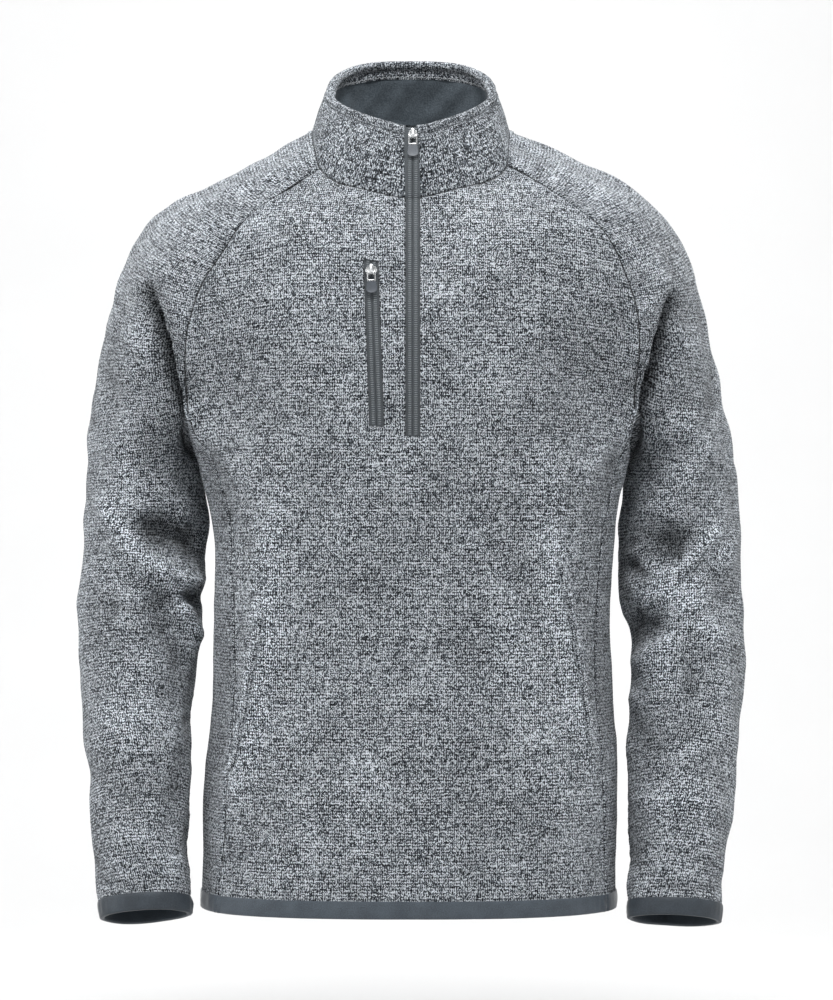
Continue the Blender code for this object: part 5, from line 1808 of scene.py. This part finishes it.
@dataclass
class SlotEnds:
    """What closes the zips' ends: the garage of folded tape, a bar tack and a row of stitches."""

    cloth: Cloth
    centre: ZipLine
    pocket: ZipLine
    tape: Material
    stitching: Stitching
    sink: float = 0.0021

    def add_garage(self) -> None:
        """Folded tape ends behind the centre slider."""
        ends = []
        for column in (-1, 0):
            ids = self.cloth.nets["collar"][:, column]
            length = run_lengths(self.cloth.points[ids])[-1]
            ends.append(up_line(*self.cloth.line(ids), length - np.linspace(0.020, 0.003, 12)))
        (right, right_out), (left, left_out) = ends
        rings = []
        across = np.linspace(0.03, 0.97, 12)
        slack = 0.0006 * np.sin(math.pi * across * 3) ** 2
        for depth, way in ((0.0, 1), (0.0012, -1)):
            for share, sag in list(zip(across, slack))[::way]:
                out = right_out + (left_out - right_out) * share
                rings.append(right + (left - right) * share - out * (self.sink + sag + depth))
        rings = np.stack(rings, axis=1)
        along = run_lengths(rings[0], closed=True)
        piece = add_swept("centre_garage", rings, self.tape, False,
                          np.append(run_lengths(rings[:, 0]), 0), along, 40)
        sew_on(piece, "grey_zip_tape", "centre_zip_garage")

    def tacks(self) -> None:
        """A dense bar of stitches across the pocket's top, and light rows across both slots' feet."""
        make = self.stitching
        for name, line, step, lift, pitch, finish in (
                ("pocket_bar", self.pocket, -1, -0.0016, 0.00062, make.dark_thread),
                ("pocket_foot", self.pocket, 0, -0.0012, 0.0019, make.light_thread),
                ("centre_foot", self.centre, 0, -0.0012, 0.0019, make.thread)):
            (right, left) = (side[0][step] for side in (line.right, line.left))
            (right_out, left_out) = (side[1][step] for side in (line.right, line.left))
            share = np.linspace(-0.06, 1.06, 12)[:, None]
            points = right + (left - right) * share + np.array((0, 0, lift))
            normals = right_out + (left_out - right_out) * share
            turn = 90 if name == "pocket_bar" else 0
            make.row("tack_" + name, points + normals * (0.0002 if turn else 0.0009), normals, finish, pitch,
                     turn, 0.0026 if turn else 0.0018)

    def build(self) -> None:
        """Makes the garage and the tacks."""
        self.add_garage()
        self.tacks()


@dataclass
class HandPockets:
    """The hand pockets' mouths: a folded lip along each slanted step, and its edge stitches."""

    cloth: Cloth
    knit: Material
    stitching: Stitching
    wide: float = 0.0046
    high: float = 0.0015

    def on_front(self, line: Array) -> Pair:
        """Drops places seen from the front on to the cloth, with outward directions."""
        names = ("front_panel", "left_side_panel", "right_side_panel")
        faces = np.concatenate([self.cloth.faces[name].reshape(-1, 4) for name in names]).tolist()
        tree = BVHTree.FromPolygons(self.cloth.points.tolist(), faces)
        hits = [tree.ray_cast((float(x), -1.0, float(z)), (0, 1, 0)) for x, z in line]
        return np.array([hit[0][:] for hit in hits]), np.array([-np.array(hit[1]) * np.sign(hit[1][1])
                                                                for hit in hits])

    def build(self) -> list[Thing]:
        """Makes and gives both lips."""
        lips = []
        for row, side in enumerate(("right", "left")):
            sign = -1 if side == "right" else 1
            line = bend_line(POCKET_EDGES, row, 60)
            at, out = self.on_front(line)
            run = unit(np.gradient(at, axis=0))
            inward = np.cross(run, out) * sign
            inward *= np.sign((inward[:, 0] * -sign).mean())
            inward = unit(inward)
            fade = np.sin(math.pi * np.linspace(0.02, 0.98, len(at))) ** 0.25
            rings = []
            for turn in np.radians(np.linspace(0, 180, 9)):
                offset = self.wide / 2 * (1 - math.cos(turn))
                rings.append(at + inward * offset + out * (self.high * fade * math.sin(turn) ** 0.7)[:, None])
            rings.append(at + inward * self.wide - out * 0.0010)
            rings.append(at - out * 0.0010)
            rings = np.stack(rings, axis=1)
            piece = add_swept(f"{side}_hand_pocket_lip", rings, self.knit, False,
                              np.append(run_lengths(rings[:, 0]), 0), run_lengths(rings[0], closed=True))
            # seam_mm darkens the lip's root where it meets the front: painted shade at the pocket's step
            set_reading(piece, "seam_mm", np.tile(np.append(np.linspace(0.2, 6, 9), (6, 0)), len(at)) * MM)
            sew_on(piece, "marled_knit_fleece")
            lips.append(piece)
            shifted = at + inward * (self.wide + 0.0012)
            self.stitching.row(f"stitches_{side}_hand_pocket", shifted + out * 0.0001, out)
        return lips


# ---------------------------------------------------------------- finishes
def linear(code: str) -> tuple[float, float, float, float]:
    """A colour written as red, green and blue in hex, turned to linear light with full cover."""
    parts = [int(code[i:i + 2], 16) / 255 for i in (0, 2, 4)]
    red, green, blue = (part / 12.92 if part <= 0.04045 else ((part + 0.055) / 1.055) ** 2.4 for part in parts)
    return red, green, blue, 1.0


# The one property that is set on a node of each of these kinds.
CHOICES = {"Math": "operation", "VectorMath": "operation", "TexNoise": "noise_dimensions",
           "TexWhiteNoise": "noise_dimensions", "MapRange": "interpolation_type",
           "UVMap": "uv_map", "Attribute": "attribute_name"}


def fill(tree: Tree, node: Node, *values: object, **inputs: object) -> None:
    """Joins or fills a node's inputs.

    Args:
        tree: The material's node tree.
        node: The node.
        values: Values of its first inputs; a node gives its first output, a socket itself.
        inputs: Values by an input's name, with underscores for spaces.
    """
    named = {name.replace("_", " "): value for name, value in inputs.items()}
    for slot, value in (dict(enumerate(values)) | named).items():
        if isinstance(value, Node):
            value = value.outputs[0]
        if isinstance(value, bpy.types.NodeSocket):
            tree.links.new(value, node.inputs[slot])
        else:
            node.inputs[slot].default_value = value


def set_stops(band: bpy.types.ColorRamp, stops: dict[float, str]) -> None:
    """Gives a colour band its stops, each a place with a colour code."""
    places = sorted(stops)
    band.elements[0].position, band.elements[1].position = places[0], places[-1]
    for place in places[1:-1]:
        band.elements.new(place)
    for element, place in zip(band.elements, places):
        element.color = linear(stops[place])


def add_node(tree: Tree, kind: str, *values: object, stops: dict[float, str] | None = None,
             **inputs: object) -> Node:
    """Adds a shader node and fills its inputs.

    Args:
        tree: The material's node tree.
        kind: The node's type without its prefix, and after a space the choice that it works with.
        values: Values of its first inputs.
        stops: Places and colour codes, if it has a colour band.
        inputs: Values of other inputs by name.

    Returns:
        The node.
    """
    kind, _, choice = kind.partition(" ")
    made = tree.nodes.new("ShaderNode" + kind)
    if choice:
        setattr(made, CHOICES[kind], choice)
    if stops:
        set_stops(made.color_ramp, stops)
    fill(tree, made, *values, **inputs)
    return made


def start_material(name: str) -> tuple[Material, Callable[..., Node], Callable[..., None]]:
    """A new material, with what adds a node to it and what fills its surface."""
    finish = bpy.data.materials.new(name)
    finish.use_nodes = True
    tree = finish.node_tree
    return finish, partial(add_node, tree), partial(fill, tree, tree.nodes["Principled BSDF"])


def in_mm(node: Callable[..., Node], flat: bool) -> Node:
    """Places in millimetres, on the flat cloth or in the object."""
    place = node("UVMap cloth") if flat else node("TexCoord").outputs["Object"]
    return node("VectorMath SCALE", place, Scale=1000.0)


@dataclass(frozen=True)
class MarledKnit:
    """Knit face of sweater fleece, from a yarn that twists light and dark grey strands.

    Stitches stand in upright wales and level courses. They are drawn as coarse as the photo shows them.
    """

    name: str = "marled_knit_face"
    wale_mm: float = 2.02
    course_mm: float = 2.9
    strand_mm: float = 1.02         # one turn of the marled yarn, up and down
    streak_mm: float = 26.0
    dash_mm: float = 5.5
    rib_mm: float = 2.1
    wale_weight: float = 0.8
    course_weight: float = 0.36
    # painted shade: lowers the whole tone; the collar's copy is set darker so as to look in shade
    shade: float = 0.0
    stops: tuple[tuple[float, str], ...] = (
        (0.0, "0C0F13"), (0.17, "282E34"), (0.33, "454B51"), (0.5, "656B72"),
        (0.66, "868C92"), (0.82, "ADB3B9"), (1.0, "DAE0E6"))

    def make(self) -> Material:
        """Builds the material: flecks of light and dark yarn in wales and courses, over small V stitches."""
        finish, node, surface = start_material(self.name)
        mm = in_mm(node, flat=True)
        # rows of stitches are never quite straight
        drift = node("TexNoise 2D", mm, Scale=0.09, Detail=2.0).outputs["Color"]
        centred = node("VectorMath SUBTRACT", drift, (0.5, 0.5, 0.5))
        bent = node("VectorMath ADD", mm, node("VectorMath SCALE", centred, Scale=1.5))
        across, up = node("SeparateXYZ", bent).outputs[:2]
        wales = node("Math DIVIDE", across, self.wale_mm)
        leg = node("Math ABSOLUTE", node("Math SUBTRACT", node("Math FRACT", wales), 0.5))
        # the two legs of each stitch rise outward, so the courses run in small Vs
        tilted = node("Math SUBTRACT", up, node("Math MULTIPLY", leg, 0.9))
        courses = node("Math DIVIDE", tilted, self.course_mm)
        strand = node("Math FLOOR", node("Math DIVIDE", tilted, self.strand_mm))
        row_seed = node("Math MULTIPLY", strand, 7.31)
        half = node("Math FLOOR", node("Math MULTIPLY", wales, 2.0))
        fleck = node("TexWhiteNoise 2D", node("CombineXYZ", half, strand))
        # the marled yarn shows as long faint streaks and short dashes, new in every strand
        streak, dash, swing = (
            node("TexNoise 2D", node("CombineXYZ", node("Math DIVIDE", across, length), row_seed),
                 Scale=1.0, Detail=1.0, Roughness=0.5)
            for length in (self.streak_mm, self.dash_mm, self.wale_mm * 1.6))
        turn = 2 * math.pi
        wale_wave = node("Math COSINE", node("Math MULTIPLY", wales, turn))
        swung = node("Math MULTIPLY_ADD", node("Math SUBTRACT", swing, 0.5), 5.0, 0.55)
        wale = node("Math MULTIPLY_ADD", node("Math MULTIPLY", wale_wave, swung), 0.5, 0.5)
        course = node("Math MULTIPLY_ADD", node("Math COSINE", node("Math MULTIPLY", courses, turn)), 0.5, 0.5)
        cloudy = node("TexNoise 2D", mm, Scale=0.025, Detail=3.0)
        # the patterns add up around their middles, each by its weight, around one half
        weighed = ((fleck, 1.2), (streak, 0.7), (dash, 0.7), (wale, self.wale_weight),
                   (course, self.course_weight), (cloudy, 0.3))
        tone: object = 0.5 - sum(weight for _, weight in weighed) / 2
        for pattern, weight in weighed:
            tone = node("Math MULTIPLY_ADD", pattern, weight, tone)
        # the painted shade, where one is set
        tone = node("Math ADD", tone, self.shade)
        # beside a seam the cloth is drawn into short ribs square to it
        seam, from_edge, relief = (node("Attribute " + name).outputs["Fac"]
                                   for name in ("seam_mm", "rib_mm", "relief_mm"))
        wave = node("Math SINE", node("Math MULTIPLY", up, turn / self.rib_mm))
        inner = node("MapRange SMOOTHSTEP", from_edge, 0.4, 1.6)
        outer = node("MapRange SMOOTHSTEP", from_edge, 4.2, 6.0, 1.0, 0.0)
        rib = node("Math MULTIPLY", wave, node("Math MULTIPLY", inner, outer))
        tone = node("Math MULTIPLY_ADD", rib, 0.16, tone)
        # painted shade darkens the seams, the slot edges, the pockets' steps and the folds' hollows, and a painted
        # highlight lightens the folds' ridges
        # painted shade: a dark line along seams, slot edges and the pockets' steps
        line = node("MapRange SMOOTHSTEP", seam, 0.1, 1.1, 0.12, 1.0)
        # painted shade in the folds' hollows and painted highlight on their ridges, read from the relief
        painted_fold_light = node("MapRange", relief, -9.0, 5.0, 0.4, 1.33)
        colour = node("VectorMath SCALE", node("ValToRGB", tone, stops=dict(self.stops)),
                      Scale=node("Math MULTIPLY", line, painted_fold_light))
        # a stitch is full in the middle of its leg and sinks at its ends
        leg_full = node("MapRange SMOOTHSTEP", node("Math PINGPONG", leg, 0.25), 0.0, 0.2)
        course_full = node("MapRange SMOOTHSTEP", node("Math PINGPONG", courses, 0.5), 0.0, 0.2)
        full = node("Math MULTIPLY_ADD", rib, 0.8, node("Math MULTIPLY", leg_full, course_full))
        surface(Base_Color=colour, Roughness=0.94, Normal=node("Bump", Strength=0.6, Distance=0.0004, Height=full),
                Sheen_Weight=0.1, Sheen_Roughness=0.6, Specular_IOR_Level=0.2)
        return finish


@dataclass(frozen=True)
class BrushedFleece:
    """Brushed back of the fleece: short slate pile in small tufts, lighter on top."""

    dark: str = "3A4147"
    light: str = "5A636A"
    tuft_mm: float = 1.3

    def make(self) -> Material:
        """Builds the material."""
        finish, node, surface = start_material("slate_brushed_fleece")
        mm = in_mm(node, flat=False)
        tufts = node("TexNoise", mm, Scale=1 / self.tuft_mm, Detail=3.0)
        clouds = node("TexNoise", mm, Scale=0.05, Detail=2.0)
        tone = node("MapRange", node("Math MULTIPLY_ADD", clouds, 0.6, tufts), 0.55, 1.05)
        surface(Base_Color=node("ValToRGB", tone, stops={0.0: self.dark, 1.0: self.light}), Roughness=0.97,
                Normal=node("Bump", Strength=0.7, Distance=0.0006, Height=tufts),
                Sheen_Weight=0.25, Sheen_Roughness=0.5, Specular_IOR_Level=0.15)
        return finish


@dataclass(frozen=True)
class StretchBinding:
    """Slate stretch binding: smooth knitted elastane with fine ribs and a soft gloss."""

    name: str = "slate_stretch_binding"
    dark: str = "3B424A"
    light: str = "566069"
    rib_mm: float = 0.9

    def make(self) -> Material:
        """Builds the material."""
        finish, node, surface = start_material(self.name)
        mm = in_mm(node, flat=True)
        across = node("SeparateXYZ", mm).outputs[0]
        ribs = node("Math SINE", node("Math MULTIPLY", across, 2 * math.pi / self.rib_mm))
        clouds = node("TexNoise 2D", mm, Scale=0.06, Detail=2.0)
        ribbed = node("Math MULTIPLY_ADD", ribs, 0.12, node("TexNoise 2D", mm, Scale=0.9, Detail=3.0))
        tone = node("MapRange", node("Math MULTIPLY_ADD", clouds, 0.6, ribbed), 0.5, 1.15)
        surface(Base_Color=node("ValToRGB", tone, stops={0.0: self.dark, 1.0: self.light}),
                Roughness=node("MapRange", clouds, To_Min=0.5, To_Max=0.62),
                Normal=node("Bump", Strength=0.5, Distance=0.00018, Height=ribbed),
                Sheen_Weight=0.3, Sheen_Roughness=0.35)
        return finish


@dataclass(frozen=True)
class TwillTape:
    """Woven zip tape: fine diagonal twill in grey polyester."""

    name: str = "woven_zip_tape"
    dark: str = "34393E"
    light: str = "5C6266"
    twill_mm: float = 0.75

    def make(self) -> Material:
        """Builds the material."""
        finish, node, surface = start_material(self.name)
        mm = in_mm(node, flat=True)
        slant = node("Math ADD", *node("SeparateXYZ", mm).outputs[:2])
        twill = node("Math SINE", node("Math MULTIPLY", slant, 2 * math.pi / self.twill_mm))
        mixed = node("Math MULTIPLY_ADD", twill, 0.22, node("TexNoise 2D", mm, Scale=1.4, Detail=2.0))
        tone = node("MapRange", mixed, 0.2, 0.8)
        surface(Base_Color=node("ValToRGB", tone, stops={0.0: self.dark, 1.0: self.light}), Roughness=0.8,
                Normal=node("Bump", Strength=0.6, Distance=0.0002, Height=mixed), Sheen_Weight=0.15)
        return finish


@dataclass(frozen=True)
class Thread:
    """Polyester sewing thread, or the coil's nylon: fine fibre and a dull gloss."""

    name: str = "grey_thread"
    dark: str = "666C72"
    light: str = "9BA1A6"
    roughness: float = 0.7

    def make(self) -> Material:
        """Builds the material."""
        finish, node, surface = start_material(self.name)
        fibre = node("TexNoise", in_mm(node, flat=False), Scale=1.1, Detail=2.0)
        tone = node("MapRange", fibre, 0.3, 0.7)
        surface(Base_Color=node("ValToRGB", tone, stops={0.0: self.dark, 1.0: self.light}), Roughness=self.roughness,
                Normal=node("Bump", Strength=0.3, Distance=0.00008, Height=fibre))
        return finish


@dataclass(frozen=True)
class NickelPlate:
    """Nickel plate, tumbled: bright, with a slightly uneven polish."""

    colour: str = "C9CBCC"

    def make(self) -> Material:
        """Builds the material."""
        finish, node, surface = start_material("tumbled_nickel_plate")
        wear = node("TexNoise", in_mm(node, flat=False), Scale=0.7, Detail=4.0)
        surface(Base_Color=linear(self.colour), Metallic=1.0, Roughness=node("MapRange", wear, 0.3, 0.7, 0.2, 0.36),
                Normal=node("Bump", Strength=0.2, Distance=0.00005, Height=wear))
        return finish


@dataclass(frozen=True)
class MouldedRubber:
    """Moulded grey plastic of a pull's tip: matt, faintly grained."""

    name: str
    dark: str
    light: str

    def make(self) -> Material:
        """Builds the material."""
        finish, node, surface = start_material(self.name)
        grain = node("TexNoise", in_mm(node, flat=False), Scale=2.5, Detail=3.0)
        surface(Base_Color=node("ValToRGB", grain, stops={0.3: self.dark, 0.7: self.light}),
                Roughness=node("MapRange", grain, To_Min=0.42, To_Max=0.58),
                Normal=node("Bump", Strength=0.15, Distance=0.0001, Height=grain))
        return finish


# ---------------------------------------------------------------- studio
@dataclass
class Studio:
    """A pale floor that curves up behind, soft light, and the camera."""

    floor_z: float = -0.90
    wall_y: float = 3.2
    camera_x: float = 0.00672
    camera_z: float = -0.336
    distance: float = 3.6
    focal_mm: float = 162.06

    def add_floor(self) -> None:
        """The floor and the curved wall."""
        bpy.ops.object.select_all(action="DESELECT")
        bpy.ops.mesh.primitive_plane_add(size=14)
        floor = bpy.context.object
        floor.name = "studio_floor"
        with editing(floor):
            select_points(floor, lambda place: True)
            bpy.ops.transform.translate(value=(0, self.wall_y - 7, self.floor_z))
            select_points(floor, lambda place: place.y > self.wall_y - 0.01)
            bpy.ops.mesh.extrude_region_move(TRANSFORM_OT_translate={"value": (0, 0, 7)})
        work(floor, "BEVEL", width=1.8, segments=24, limit_method="ANGLE", angle_limit=math.radians(60))
        bpy.ops.object.shade_smooth()
        finish, node, surface = start_material("pale_paper")
        soft = node("TexNoise", node("TexCoord").outputs["Object"], Scale=3.0)
        surface(Base_Color=node("ValToRGB", soft, stops={0.0: "CCCCCC", 1.0: "D0D0D0"}), Roughness=0.9)
        # the wall is clear from its back, so a view from behind the garment isn't shut off
        tree = finish.node_tree
        clear = node("MixShader", node("NewGeometry").outputs["Backfacing"], tree.nodes["Principled BSDF"],
                     node("BsdfTransparent"))
        fill(tree, tree.nodes["Material Output"], clear)
        floor.data.materials.append(finish)

    def add_light(self, name: str, place: tuple[float, float, float], aim: tuple[float, float, float],
                  size: float, power: float) -> None:
        """A square soft light that faces a point."""
        lamp = bpy.data.lights.new(name, "AREA")
        lamp.shape, lamp.size, lamp.energy = "SQUARE", size, power
        thing = bpy.data.objects.new(name, lamp)
        thing.location = place
        thing.rotation_euler = (Vector(aim) - Vector(place)).to_track_quat("-Z", "Y").to_euler()
        thing.visible_camera = False        # other views look past the lamps
        bpy.context.scene.collection.objects.link(thing)

    def build(self) -> None:
        """Sets up floor, lights, air and camera."""
        self.add_floor()
        middle = (0.0, 0.0, self.camera_z)
        self.add_light("steep", (0.0, -1.6, 2.5), middle, 1.0, 78)
        self.add_light("left", (-2.8, -0.9, 0.7), middle, 1.4, 30)
        self.add_light("right", (2.8, -0.9, 0.7), middle, 1.4, 14)
        self.add_light("backdrop", (0.0, 1.0, 1.6), (0, 3.2, -0.3), 3.0, 75)
        air = bpy.data.worlds.new("studio_air")
        air.use_nodes = True
        air.node_tree.nodes["Background"].inputs["Color"].default_value = linear("F6F7F8")
        air.node_tree.nodes["Background"].inputs["Strength"].default_value = 0.42
        bpy.context.scene.world = air
        bpy.context.scene.view_settings.view_transform = "Standard"     # the photo's whites are plain white
        lens = bpy.data.cameras.new("camera")
        lens.sensor_fit, lens.sensor_width, lens.lens = "HORIZONTAL", 36, self.focal_mm
        camera = bpy.data.objects.new("camera", lens)
        camera.location = (self.camera_x, -self.distance, self.camera_z)
        camera.rotation_euler = (math.pi / 2, 0, 0)
        bpy.context.scene.collection.objects.link(camera)
        bpy.context.scene.camera = camera


def main() -> None:
    """Builds the pullover and the studio."""
    logging.basicConfig(level=logging.INFO, format="%(name)s: %(message)s")
    knit, backing = MarledKnit().make(), BrushedFleece().make()
    # the collar is the same knit, made darker as painted shade
    collar_knit = MarledKnit("shaded_marled_knit_collar", wale_weight=0.55, course_weight=0.14, shade=-0.1).make()
    binding, tape = StretchBinding().make(), TwillTape().make()
    # the cuffs are the same binding as the hem, made darker as painted shade
    cuff_binding = StretchBinding("shaded_stretch_binding", "2C3239", "434C54").make()
    coil = Thread("nylon_coil", "646A6E", "8A9094", 0.5).make()
    thread = Thread().make()
    light_thread = Thread("light_thread", "B4B9BE", "DDE0E3").make()
    dark_thread = Thread("slate_thread", "2A2F33", "474D52", 0.75).make()
    metal = NickelPlate().make()

    cloth = Cloth()
    fleece = Fleece(cloth, knit, backing)
    fleece.build()
    CollarPieces(cloth, collar_knit, backing).build()
    Binding(cloth, binding, cuff_binding).build_all()
    stitching = Stitching(cloth, thread, dark_thread, light_thread)
    stitching.build()
    centre, pocket = centre_zip_line(cloth), pocket_zip_line(cloth)
    strips = HandPockets(cloth, knit, stitching).build()
    for name, line, height, wide, raised, tip in (
            ("centre", centre, 0.0066, 0.0086, 0.0, MouldedRubber("light_moulded_tip", "5C6167", "777C82")),
            ("pocket", pocket, -0.1242, 0.0108, 0.0015, MouldedRubber("slate_moulded_tip", "454A51", "5A6068"))):
        strips += Zip(name, line, tape, coil).build(stitching.motif)
        ZipHead(name, line.frame(height), metal, tip.make(), slider_wide=wide, raised=raised).build()
    SlotEnds(cloth, centre, pocket, tape, stitching).build()
    fleece.declare()
    Studio().build()


if __name__ == "__main__":
    main()
